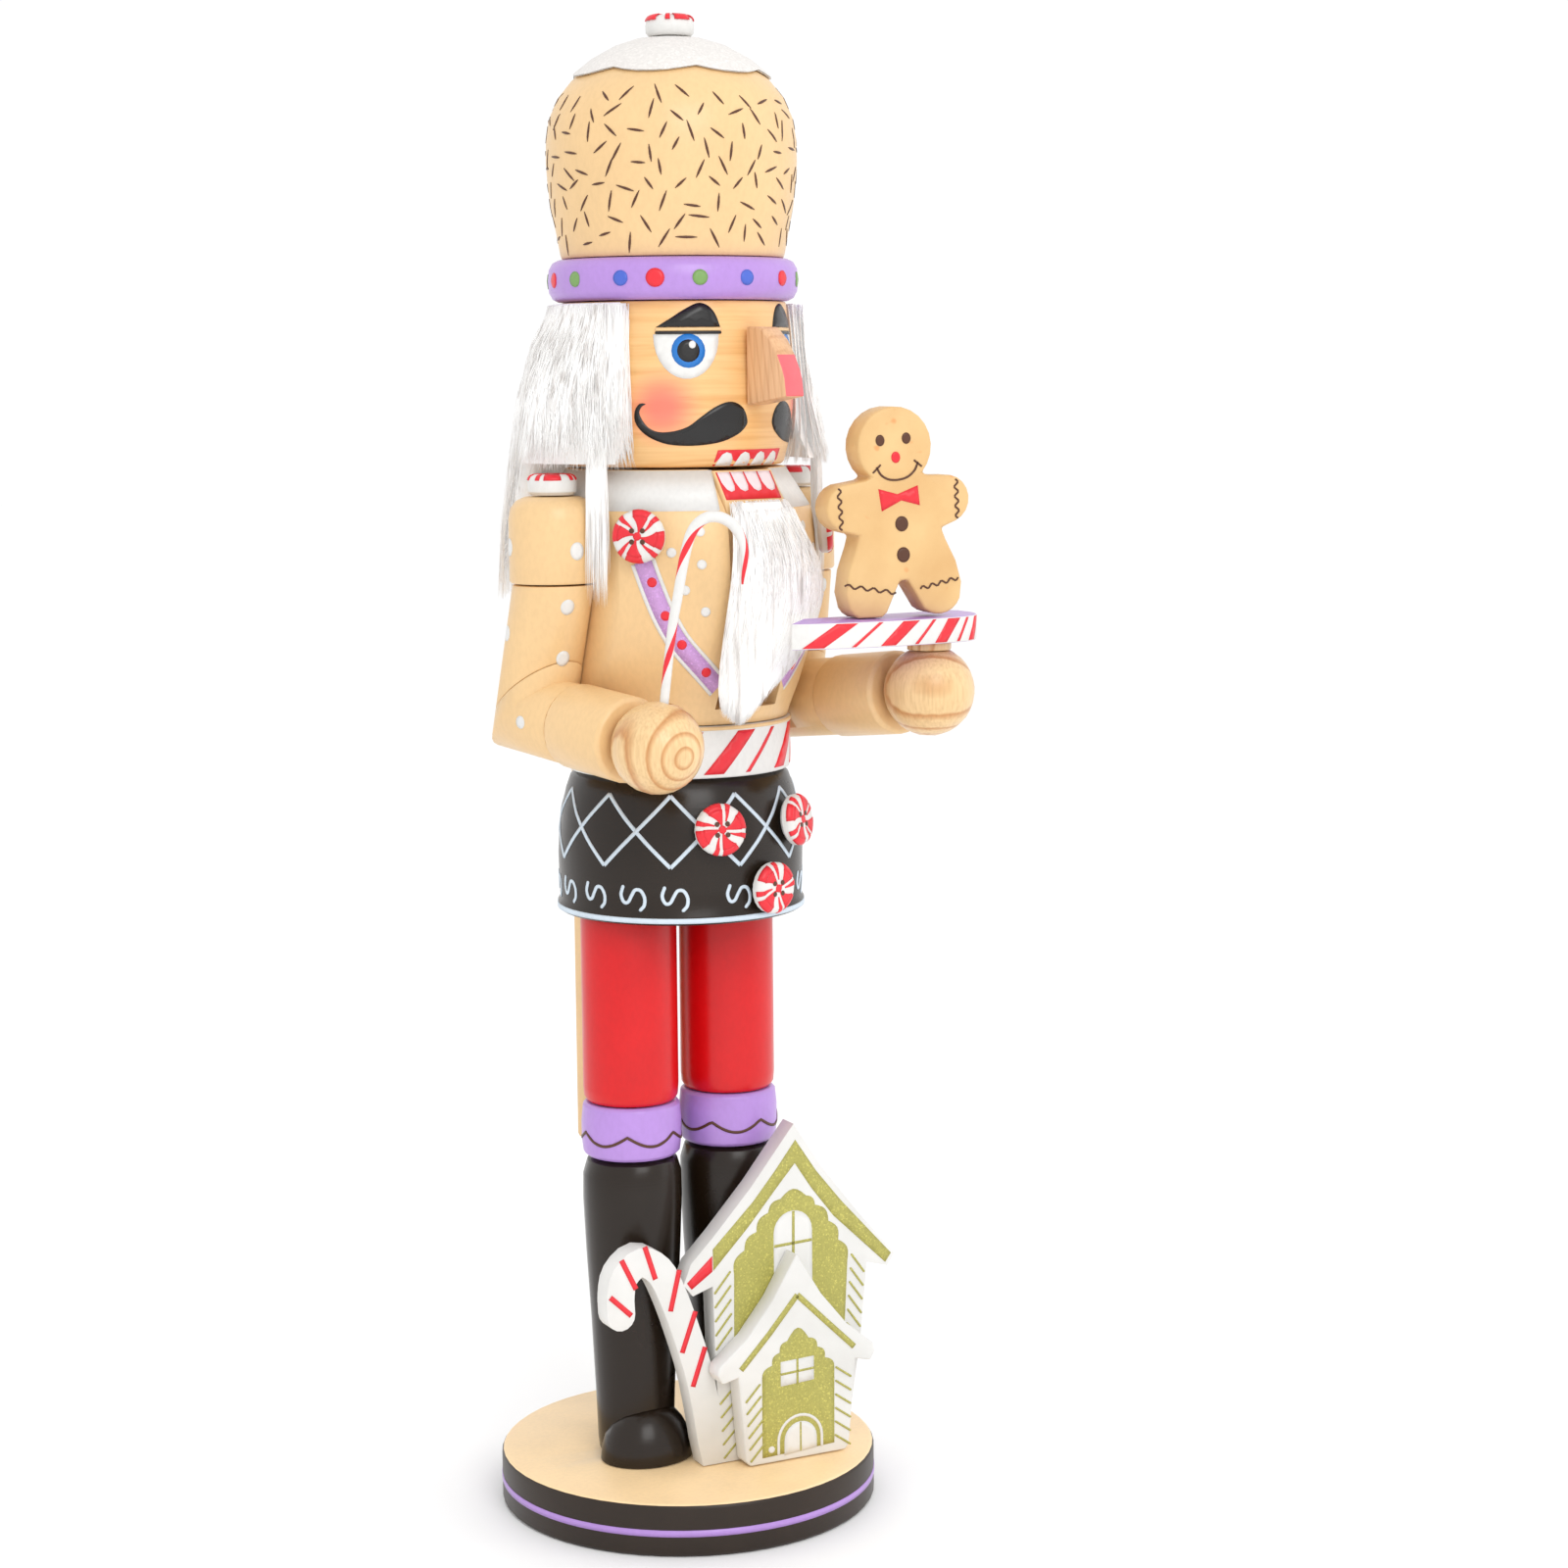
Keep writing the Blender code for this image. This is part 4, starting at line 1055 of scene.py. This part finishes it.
def dress_staff():
    """A drawn sugar stick: its red streaks wind slowly round it."""
    flat = [(-1.8, 207.8), (0.9, 230.8), (2.6, 240.5), (4.4, 250.0), (6.3, 256.0), (9.4, 258.9),
            (13.0, 259.0), (16.4, 256.6), (18.4, 251.6), (18.4, 243.2)]
    low, high = box_mm("candy_cane_staff")
    turn = math.radians(-39)
    right = Vector((math.cos(turn), math.sin(turn), 0))
    foot = Vector((low.x + 1.4 * 0.63 + 1.8 * 0.777, high.y - 1.4 * 0.777 - 1.8 * 0.629, 0))
    normal = right.cross(UP)
    path = [foot + right * u + UP * v for u, v in curve(flat, steps=14)]
    sides = 24
    verts = []
    length = 0.0
    shares = (0.0, 0.45, 0.62, 0.8, 1.0)
    for k, point in enumerate(path):
        thick = float(np.interp(k / (len(path) - 1), shares, (1.1, 1.3, 1.4, 1.3, 0.7)))
        length += (point - path[k - 1]).length if k else 0.0
        way = way_at(path, k)
        out = way.cross(normal).normalized()
        for j in range(sides):
            angle = 2 * math.pi * (j / sides + length / 26.0)
            verts.append(point + thick * (math.cos(angle) * normal + math.sin(angle) * out))
    faces = [tuple(range(sides))[::-1]]
    last = (len(path) - 1) * sides
    faces.append(tuple(range(last, last + sides)))
    for k in range(len(path) - 1):
        for j in range(sides):
            n = (j + 1) % sides
            spot = k * sides
            faces.append((spot + j, spot + n, spot + sides + n, spot + sides + j))
    staff = add_object("candy_staff", verts, faces, white)
    staff.data.materials.append(stripe_red)
    for index, face in enumerate(staff.data.polygons):
        if index >= 2 and (index - 2) % sides in (4, 5, 6, 7, 8):
            face.material_index = 1
    staff.data.set_sharp_from_angle(angle=math.radians(50))
    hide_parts("candy_cane_staff")


class Edge(Flat):
    """A level board's upright front edge: u runs along it from the left end, v is the height."""

    def __init__(self, line):
        self.line = line
        self.marks = [0.0]
        for start, end in zip(line, line[1:]):
            self.marks.append(self.marks[-1] + (end - start).length)

    def at(self, u, v, lift=LIFT):
        k = int(np.clip(np.searchsorted(self.marks, u) - 1, 0, len(self.line) - 2))
        start, end = self.line[k], self.line[k + 1]
        way = (end - start).normalized()
        spot = start + way * (u - self.marks[k]) + Vector((way.y, -way.x)) * lift
        return Vector((spot.x, spot.y, v))


def dress_tray():
    tray = refined("tray", white, edge=0.35)
    low, high = box_mm("tray")
    tray.data.materials.append(purple)
    for face in tray.data.polygons:
        if abs(face.normal.z) > 0.9:
            face.material_index = 1
    turn = math.radians(HOUSE_YAW)
    right = Vector((math.cos(turn), math.sin(turn)))
    points = {(round(p.x, 2), round(p.y, 2)) for p in mesh_points("tray")}
    back = Vector((-right.y, right.x))
    rim = [Vector(p) for p in points]
    corner = min(rim, key=lambda p: p.dot(right))
    front = [p for p in rim if (p - corner).dot(back) < 11.0]
    edge = Edge(sorted(front, key=lambda p: (p - corner).dot(right + 0.2 * back)))
    marks = Coat("tray_stripes", stripe_red)
    bottom, top = low.z + 0.3, high.z - 0.3
    stripes = ((2.7, 8.2, 11.5, 17.0), (15.3, 16.4, 22.6, 23.7), (23.0, 27.1, 29.3, 34.0),
               (32.6, 33.6, 38.0, 39.0), (38.6, 42.2, 42.7, 46.6), (45.5, 46.4, 48.8, 49.7),
               (49.8, 52.6, 53.0, 56.0))
    for start, end, top_start, top_end in stripes:
        outline = [(start, bottom), (end, bottom), (top_end, top), (top_start, top)]
        if top_end < edge.marks[-1]:
            marks.add(patch(edge, outline, step=1.2))
    marks.lay()


def wavy(start, end, waves, height):
    path = []
    count = waves * 6
    first, last = Vector(start), Vector(end)
    way = (last - first).normalized()
    side = Vector((-way.y, way.x))
    for k in range(count + 1):
        share = k / count
        path.append(tuple(first.lerp(last, share) + side * height * math.sin(2 * math.pi * waves * share)))
    return path


def cookie_material():
    made = Shader("gingerbread_paint", 0.5)
    drift = made.noise(made.stretched((70, 70, 70)), 1.0, 4.0)
    grain = made.noise(made.stretched((900, 900, 900)), 1.0, 3.0)
    specks = made.noise(made.stretched((230, 230, 230)), 1.0, 1.0)
    base = made.ramp(drift, [(0.3, rgb(214, 170, 112)), (0.7, rgb(228, 190, 132))])
    blush = made.ramp(specks, [(0.70, (1, 1, 1, 1)), (0.76, (1.0, 0.72, 0.58, 1))])
    made.colour(made.times(base, blush))
    made.bump(grain, 0.06, 0.5)
    return made.material


def dress_cookie():
    refined("gingerbread_man", cookie_material(), edge=0.7, angle=50)
    face = upright_face("gingerbread_man", COOKIE_YAW, 0.0)[0]
    turn = math.radians(COOKIE_YAW)
    right = Vector((math.cos(turn), math.sin(turn), 0))
    points = [p.dot(right) for p in mesh_points("gingerbread_man")]
    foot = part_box("gingerbread_man")[0].z / MM
    centre = (min(points) + max(points)) / 2 + 1.95
    lean = math.radians(COOKIE_LEAN)
    face.place = face.place @ Matrix.Translation((centre, foot, 0))
    face.place = face.place @ Matrix.Rotation(lean, 4, "Z")
    ink = Coat("gingerbread_lines", brown)
    reds = Coat("gingerbread_reds", stripe_red)
    for spot in ((-3.9, 43.6), (3.0, 43.6)):
        ink.add(dot(face, spot, 1.15, squeeze=1.2))
    reds.add(dot(face, (-0.1, 39.2), 1.15, squeeze=1.2))
    ink.add(stroke(face, curve([(-5.2, 37.0), (-4.2, 35.2), (-2.3, 34.0), (0.2, 33.7), (2.7, 34.2),
                                (4.6, 35.6), (5.6, 37.4)]), 0.5))
    ink.add(stroke(face, [(-6.2, 36.0), (-4.3, 37.6)], 0.45))
    ink.add(stroke(face, [(4.8, 38.0), (6.5, 36.5)], 0.45))
    reds.add(patch(face, [(-5.2, 31.9), (-0.3, 30.2), (5.2, 31.9), (5.4, 27.0), (0.6, 28.6), (-4.7, 26.4)]))
    for spot in ((0.3, 22.9), (0.2, 15.3)):
        ink.add(dot(face, spot, 1.7, squeeze=1.1))
    ink.add(stroke(face, wavy((-15.5, 32.8), (-15.5, 22.9), 4, 0.5), 0.45))
    ink.add(stroke(face, wavy((15.4, 32.4), (15.2, 23.0), 4, 0.5), 0.45))
    ink.add(stroke(face, wavy((-15.6, 9.2), (-2.6, 6.2), 4, 0.45), 0.45))
    ink.add(stroke(face, wavy((4.2, 6.6), (14.2, 8.2), 4, 0.45), 0.45))
    ink.lay()
    reds.lay()


# ---------------------------------------------------------------- houses

def lobes(corners, bulge):
    """A scalloped line: an arc from each corner to the next, bulging to its left."""
    path = []
    for start, end in zip(corners, corners[1:]):
        first, last = Vector(start), Vector(end)
        way = last - first
        side = Vector((-way.y, way.x)) * bulge
        for k in range(6):
            share = k / 6
            path.append(tuple(first + way * share + side * math.sin(math.pi * share)))
    return path + [corners[-1]]


def hatch(coat, face, reach, first, last, count):
    """Short parallel strokes, their lower ends stepped evenly from first to last."""
    for k in range(count):
        start = Vector(first).lerp(Vector(last), k / (count - 1))
        coat.add(stroke(face, [tuple(start), tuple(Vector(reach) + start)], HATCH_WIDTH))


def board_white():
    made = Shader("board_white", 0.55)
    drift = made.noise(made.stretched((45, 45, 45)), 1.0, 4.0)
    strokes = made.noise(made.stretched((220, 220, 900), (0.2, 0.1, 0.4)), 1.0, 3.0)
    made.colour(made.ramp(drift, [(0.3, rgb(213, 212, 208)), (0.7, rgb(228, 227, 224))]))
    made.rough(drift, 0.45, 0.65)
    made.bump(strokes, 0.08, 0.45)
    return made.material


def dress_houses():
    board = board_white()
    refined("house_front", board, edge=0.5)
    refined("house_back", board, edge=0.5)
    front, middle = upright_face("house_front", HOUSE_YAW)
    rear, middle = upright_face("house_back", HOUSE_YAW, middle)
    foot = 14.6
    leaf = Coat("house_green", green)
    pale = Coat("house_white", board)
    # The tall board: roof stripe, scalloped panel, arched window and hatching
    outer = [(-20.9, 70.9), (-9.3, 81.9), (-2.8, 89.4), (3.0, 96.7), (9.0, 87.8), (16.3, 78.9), (31.0, 62.9)]
    inner = [(29.3, 60.6), (14.0, 75.2), (7.6, 83.4), (2.8, 90.6), (-3.0, 84.2), (-10.8, 75.4), (-20.8, 65.3)]
    leaf.add(patch(rear, outer + inner))
    panel = [(17.0, 44.0), (18.0, 62.8)]
    panel += lobes([(18.0, 62.8), (15.3, 68.6), (12.5, 74.0), (8.6, 78.8), (6.0, 81.6)], -0.22)
    panel += lobes([(6.0, 81.6), (-1.4, 81.6)], -0.3)
    panel += lobes([(-1.4, 81.6), (-5.0, 78.4), (-8.4, 73.8), (-11.9, 69.4), (-14.9, 63.4)], -0.22)
    panel += [(-15.1, 44.0)]
    leaf.add(patch(rear, panel))
    window = [(-3.5, 52.0), (7.6, 52.0)] + arc((2.05, 72.6), 5.55, 0, 180, 12)
    pale.add(patch(rear, window, SECOND_COAT))
    leaf.add(stroke(rear, [(-3.4, 69.3), (7.5, 69.7)], 0.75, THIRD_COAT, round_ends=False))
    leaf.add(stroke(rear, [(2.1, 65.8), (2.2, 78.0)], 0.75, THIRD_COAT, round_ends=False))
    hatch(leaf, rear, (4.3, 5.0), (-20.4, 59.3), (-20.0, 37.0), 7)
    hatch(leaf, rear, (3.6, -5.0), (19.3, 64.0), (17.5, 42.0), 7)
    hatch(leaf, rear, (5.0, 5.0), (-19.2, 29.8), (-18.2, 15.2), 5)
    # The small board: roof line, scalloped panel, window, door and hatching
    leaf.add(stroke(front, [(-16.3, 40.1), (-8.0, 48.6), (0.0, 57.6)], 1.5, round_ends=False))
    leaf.add(stroke(front, [(0.0, 57.6), (8.1, 49.6), (16.5, 41.4)], 1.5, round_ends=False))
    panel = [(10.5, foot + 1.9), (10.6, 36.0)]
    panel += lobes([(10.6, 36.0), (7.9, 39.8), (5.7, 43.0), (3.2, 45.8)], -0.25)
    panel += lobes([(3.2, 45.8), (-3.0, 45.8)], -0.5)
    panel += lobes([(-3.0, 45.8), (-5.2, 43.0), (-7.4, 39.9), (-10.3, 36.0)], -0.25)
    panel += [(-10.4, foot + 1.1)]
    leaf.add(patch(front, panel))
    pale.add(patch(front, [(-5.0, 34.0), (4.6, 34.5), (4.6, 40.8), (-5.0, 40.5)], SECOND_COAT))
    leaf.add(stroke(front, [(-5.0, 37.2), (4.6, 37.6)], 0.6, THIRD_COAT, round_ends=False))
    leaf.add(stroke(front, [(-0.2, 34.0), (-0.2, 40.8)], 0.6, THIRD_COAT, round_ends=False))
    door = [(-4.1, foot + 0.9), (5.3, foot + 1.6)] + arc((0.6, 19.2), 4.7, 0, 180, 12)
    pale.add(patch(front, door, SECOND_COAT))
    frame_line = [(-5.8, foot + 1.6)] + arc((0.5, 19.3), 6.3, 180, 0, 14) + [(6.8, foot + 1.9)]
    pale.add(stroke(front, frame_line, 0.75, SECOND_COAT))
    leaf.add(stroke(front, [(0.6, foot + 1.6), (0.6, 23.6)], 0.45, THIRD_COAT))
    pale.add(dot(front, (-7.8, 17.6), 0.9, SECOND_COAT))
    hatch(leaf, front, (3.9, 4.0), (-14.9, 31.4), (-13.7, 15.4), 6)
    hatch(leaf, front, (4.2, -3.0), (11.2, 36.6), (10.9, 18.4), 6)
    leaf.lay()
    pale.lay()
    # The candy cane runs up the left of the tall board
    reds = Coat("cane_stripes", stripe_red)
    for ends in (((-49.6, 62.4), (-43.9, 56.9)), ((-46.4, 71.6), (-42.5, 63.6)),
                 ((-39.9, 74.2), (-37.1, 65.4)), ((-30.4, 66.9), (-33.0, 56.4)),
                 ((-26.0, 55.4), (-29.9, 45.0)), ((-23.4, 45.6), (-27.0, 35.6))):
        reds.add(stroke(rear, ends, 1.35, round_ends=False))
    reds.add(patch(rear, [(-28.3, 63.0), (-27.0, 61.2), (-21.1, 65.1), (-21.1, 69.2)]))
    reds.lay()


# ---------------------------------------------------------------- jaw

def dress_jaw():
    refined("jaw_lever", tan, body="jaw", edge=0.5)
    top_z, top_y = 268.9, -27.3
    low_z, low_y = 262.0, -31.9
    slope = Vector((0, top_y - low_y, top_z - low_z)).normalized()
    right = Vector((1, 0, 0))
    out = right.cross(slope)
    lip = Flat(columns(right, slope, out, Vector((0, low_y, low_z))))
    height = math.hypot(top_y - low_y, top_z - low_z)
    field = Coat("lower_gum", stripe_red, "jaw")
    field.add(patch(lip, [(-8.6, 0.0), (8.6, 0.0), (8.6, height - 0.4), (-8.6, height - 0.4)]))
    field.lay()
    teeth = Coat("lower_teeth", paint("tooth_white", rgb(240, 222, 226), 0.3, 0.4, 0.1), "jaw")
    for k in range(4):
        low = -8.2 + 4.2 * k
        outline = [(low, height - 0.4)]
        outline += [(low + 0.2, height - 3.4), (low + 1.0, 2.9), (low + 2.1, 2.2), (low + 3.2, 2.6)]
        outline += [(low + 3.7, height - 4.4), (low + 3.7, height - 0.4)]
        teeth.add(patch(lip, outline, SECOND_COAT, 1.0))
    teeth.lay()


# ---------------------------------------------------------------- fur

HAIR_EDGE = 61.5        # azimuth of the hair's front edge, on either side
HAIR_TOP = 309.8
HAIR_ROOTS = 8000
TEMPLE_ROOTS = 1300     # the first of those roots, which fill the edges beside the face
SHOULDER_LOCKS = 640
BEARD_ROOTS = 5400
BENDS = 6               # straight pieces in one strand


def strand(tuft, path):
    """One tapered three-sided hair along a path, added to a tuft's points and faces."""
    verts, faces = tuft
    width = random.uniform(0.24, 0.42)
    start = len(verts)
    count = len(path)
    for k, point in enumerate(path):
        way = way_at(path, k)
        side = way.cross(Vector((0.3, 0.9, 0.2))).normalized()
        other = way.cross(side)
        share = k / (count - 1)
        half = 0.5 * width * min(1.0, 0.55 + 2 * share) * (1 - share ** 3) + 0.012
        for j in range(3):
            turn = 2 * math.pi * j / 3
            verts.append(point + half * (math.cos(turn) * side + math.sin(turn) * other))
    for k in range(count - 1):
        for j in range(3):
            n = (j + 1) % 3
            low = start + 3 * k
            faces.append((low + j, low + n, low + 3 + n, low + 3 + j))
    faces.append((start + 2, start + 1, start))
    end = start + 3 * (count - 1)
    faces.append((end, end + 1, end + 2))


HAIR_TABLE = [(310.0, 30.9, 31.9), (300.0, 31.3, 35.8), (287.0, 32.5, 39.6), (270.0, 36.6, 42.2),
              (255.0, 37.2, 44.2), (237.0, 37.6, 45.2)]


def table_row(table, height):
    """The values of a table at a height; its rows run from the top down."""
    heights, *columns_down = (values[::-1] for values in zip(*table))
    return tuple(float(np.interp(height, heights, values)) for values in columns_down)


def hair_span(height):
    """Inner and outer radius of the hair at a height."""
    return table_row(HAIR_TABLE, height)


def from_edge(azimuth):
    """Degrees from the nearer front edge of the hair."""
    return min(azimuth - HAIR_EDGE, 360 - HAIR_EDGE - azimuth)


def side_of(azimuth):
    return "left" if azimuth % 360 < 180 else "right"


def hair_bottom(azimuth):
    away = abs(azimuth % 360 - 180)
    drop = min(max((68 - away) / 14, 0), 1)
    return 271.0 - 33.5 * drop * drop * (3 - 2 * drop)


def grow_hair():
    base = refined("hair", fur, edge=0.0, angle=60)
    for vertex in base.data.vertices:
        x, y, z = vertex.co / MM
        radius = math.hypot(x, y)
        inner, outer = hair_span(z)
        if radius > inner + 0.6:
            azimuth = math.degrees(math.atan2(x, -y)) % 360
            fullness = 0.2 + 0.4 * min(max(from_edge(azimuth) / 25, 0.0), 1.0)
            scale = (inner + fullness * (radius - inner)) / radius
            vertex.co = Vector((x * scale, y * scale, min(z, 309.6))) * MM
    tufts = {"right": ([], []), "left": ([], [])}
    head_wall = turned_node("head", 269.9, 310.3)
    chest_wall = turned_node("torso", 206.3, 269.3)
    for k in range(HAIR_ROOTS):
        azimuth = HAIR_EDGE + (360 - 2 * HAIR_EDGE) * random.random()
        if k < TEMPLE_ROOTS:
            side = 1 if k % 2 else -1
            azimuth = (side * (62.0 + random.uniform(-2.5, 5.0))) % 360
        bottom = hair_bottom(azimuth)
        root = HAIR_TOP - (HAIR_TOP - bottom - 12) * random.random() ** 2.2
        tip = bottom + random.uniform(-1.5, 9.0)
        if random.random() < 0.25:
            tip = root - random.uniform(14, 30)
        tip = max(tip, bottom - 1.5)
        depth = 1.0 - 0.65 * random.random() ** 2
        depth *= min(1.0, 0.3 + from_edge(azimuth) / 22)
        lean = random.uniform(-5, 5)
        wave = random.uniform(0, 6.28)
        path = []
        for j in range(BENDS + 1):
            share = j / BENDS
            height = root + (tip - root) * share
            inner, outer = hair_span(height)
            radius = inner + 0.25 + (outer - inner) * depth * min(1.0, 0.35 + share * 1.3)
            if k < TEMPLE_ROOTS:
                close = head_wall.radius(height) + 0.5
                radius = close + (inner + 2.0 - close) * (k % 10) / 9
            turn = azimuth + lean * share * share + 0.9 * math.sin(wave + 3.5 * share)
            turn = min(max(turn, 57.5), 302.5)
            path.append(wall_point(turn, radius, height))
        strand(tufts[side_of(azimuth)], path)
    for k in range(SHOULDER_LOCKS):
        side = 1 if k % 2 else -1
        azimuth = side * (64.5 + 7.5 * random.random())
        root = random.uniform(272, 288)
        tip = random.uniform(236, 262)
        drift = random.uniform(-1.5, 3.5)
        stand = random.uniform(0.5, 3.2)
        path = []
        for j in range(BENDS + 1):
            share = j / BENDS
            height = root + (tip - root) * share
            inner = hair_span(max(height, 272))[0]
            radius = max(inner + 0.5 + stand * 0.5, chest_wall.radius(min(height, 259)) + stand)
            radius += (inner + 1.5 - radius) * max(1 - 2.2 * share, 0)
            turn = azimuth + side * drift * -share * (1 - 0.4 * share)
            path.append(wall_point(turn, radius, height))
        strand(tufts[side_of(azimuth)], path)
    for word, tuft in tufts.items():
        add_object(f"hair_strands_{word}", *tuft, fur)


BEARD_TABLE = [(262.0, 0.0, 8.6, 2.0), (258.0, 0.0, 9.4, 3.0), (252.0, 1.4, 11.2, 3.8),
               (245.0, 3.0, 13.2, 4.0), (238.0, 2.8, 14.2, 3.6), (230.0, 0.9, 13.6, 3.2),
               (222.0, -2.6, 11.9, 2.9), (215.0, -6.2, 8.6, 2.6), (207.0, -9.4, 4.6, 1.8)]


def beard_row(height):
    """Middle, half width and depth of the beard at a height."""
    return table_row(BEARD_TABLE, height)


def grow_beard():
    base = refined("beard", fur, body="jaw", edge=0.0, angle=60)
    level = {}
    for vertex in base.data.vertices:
        level.setdefault(round(vertex.co.z / MM, 1), []).append(vertex.co.x / MM)
    for vertex in base.data.vertices:
        x, y, z = vertex.co / MM
        row = level[round(z, 1)]
        inset = x - (min(row) + max(row)) / 2
        vertex.co = Vector((beard_row(z)[0] + inset * 0.84, -36.0 + (y + 36.4) * 0.6, z)) * MM
    tuft = ([], [])
    for _ in range(BEARD_ROOTS):
        top = 261.8 - 44 * random.random() ** 1.25
        across = random.uniform(-1, 1)
        depth = 1.0 - 0.7 * random.random() ** 2
        reach = random.uniform(14, 34) if random.random() < 0.45 else random.uniform(34, 54)
        rise = (22 if across > 0 else 4) * abs(across) ** 2.2
        tip = max(top - reach, 207.0 + rise * random.uniform(0.6, 1.3) + random.uniform(0, 3))
        if tip > top - 5:
            continue
        drift = random.uniform(-1.1, 1.1)
        wave = random.uniform(0, 6.28)
        path = []
        for j in range(BENDS + 1):
            share = j / BENDS
            height = top + (tip - top) * share
            middle, half, thick = beard_row(height)
            spot = min(max(across + 0.10 * drift * share * share, -1.02), 1.02)
            x = middle + half * spot + 0.35 * math.sin(wave + 4 * share)
            back = -33.6 if height > 260 else -35.9
            front = thick * depth * math.sqrt(max(1 - 0.8 * spot * spot, 0.05))
            y = back - min(1.0, 0.3 + 1.6 * share) * front
            y = min(y, slot_face(height) - 0.4)
            path.append(Vector((x, y, height)))
        strand(tuft, path)
    add_object("beard_strands", *tuft, fur, "jaw")


def slot_face(height):
    """The front of the jaw lever and of the torso beside it, which the beard hangs before."""
    return float(np.interp(height, (206.0, 238.0, 253.0, 258.0, 262.0, 269.0),
                           (-35.6, -35.9, -35.8, -34.6, -32.2, -27.6)))


# ---------------------------------------------------------------- stage

def set_stage():
    floor = bpy.data.meshes.new("floor")
    floor.from_pydata([(-6, -6, 0), (6, -6, 0), (6, 6, 0), (-6, 6, 0)], [], [(0, 1, 2, 3)])
    stage = placed("floor", floor)
    made = Shader("floor_white", 0.7)
    made.put("Base Color", (0.99, 0.99, 0.99, 1))
    floor.materials.append(made.material)
    world = bpy.data.worlds.new("studio")
    bpy.context.scene.world = world
    world.use_nodes = True
    world.node_tree.nodes["Background"].inputs["Color"].default_value = (1, 1, 1, 1)
    world.node_tree.nodes["Background"].inputs["Strength"].default_value = 1.03
    bpy.context.scene.view_settings.view_transform = "Standard"
    for name, spot, size, power in (
        ("key", (-0.5, -1.5, 1.2), 0.9, 9.0), ("fill", (1.3, -0.9, 0.7), 1.2, 2.0),
    ):
        light = bpy.data.lights.new(name, "AREA")
        light.energy = power
        light.size = size
        lamp = placed(name, light)
        lamp.location = spot
        aim = Vector((0, 0, 0.2)) - Vector(spot)
        lamp.rotation_euler = aim.to_track_quat("-Z", "Y").to_euler()


def set_camera():
    """Seen from the figure's right front, a little from above."""
    azimuth, tilt, roll = math.radians(-39), math.radians(7.61), math.radians(-0.5)
    distance = 0.794
    right = Vector((math.cos(azimuth), math.sin(azimuth), 0))
    towards = Vector((math.sin(azimuth), -math.cos(azimuth), 0))
    ahead = (-towards * math.cos(tilt) - UP * math.sin(tilt)).normalized()
    back = -ahead
    up = back.cross(right)
    across = right * math.cos(roll) + up * math.sin(roll)
    above = up * math.cos(roll) - right * math.sin(roll)
    place = columns(across, above, back, towards * distance + right * 0.0268 + UP * 0.294)
    data = bpy.data.cameras.new("camera")
    data.sensor_width = 36
    data.lens = 71.6
    data.clip_start = 0.05
    camera = placed("camera", data)
    camera.matrix_world = place
    bpy.context.scene.camera = camera


set_camera()
set_stage()
dress_base()
dress_legs()
dress_skirt()
dress_belt()
dress_torso()
dress_head()
dress_hat()
dress_buttons()
dress_arms()
dress_staff()
dress_tray()
dress_cookie()
dress_houses()
dress_jaw()
grow_hair()
grow_beard()
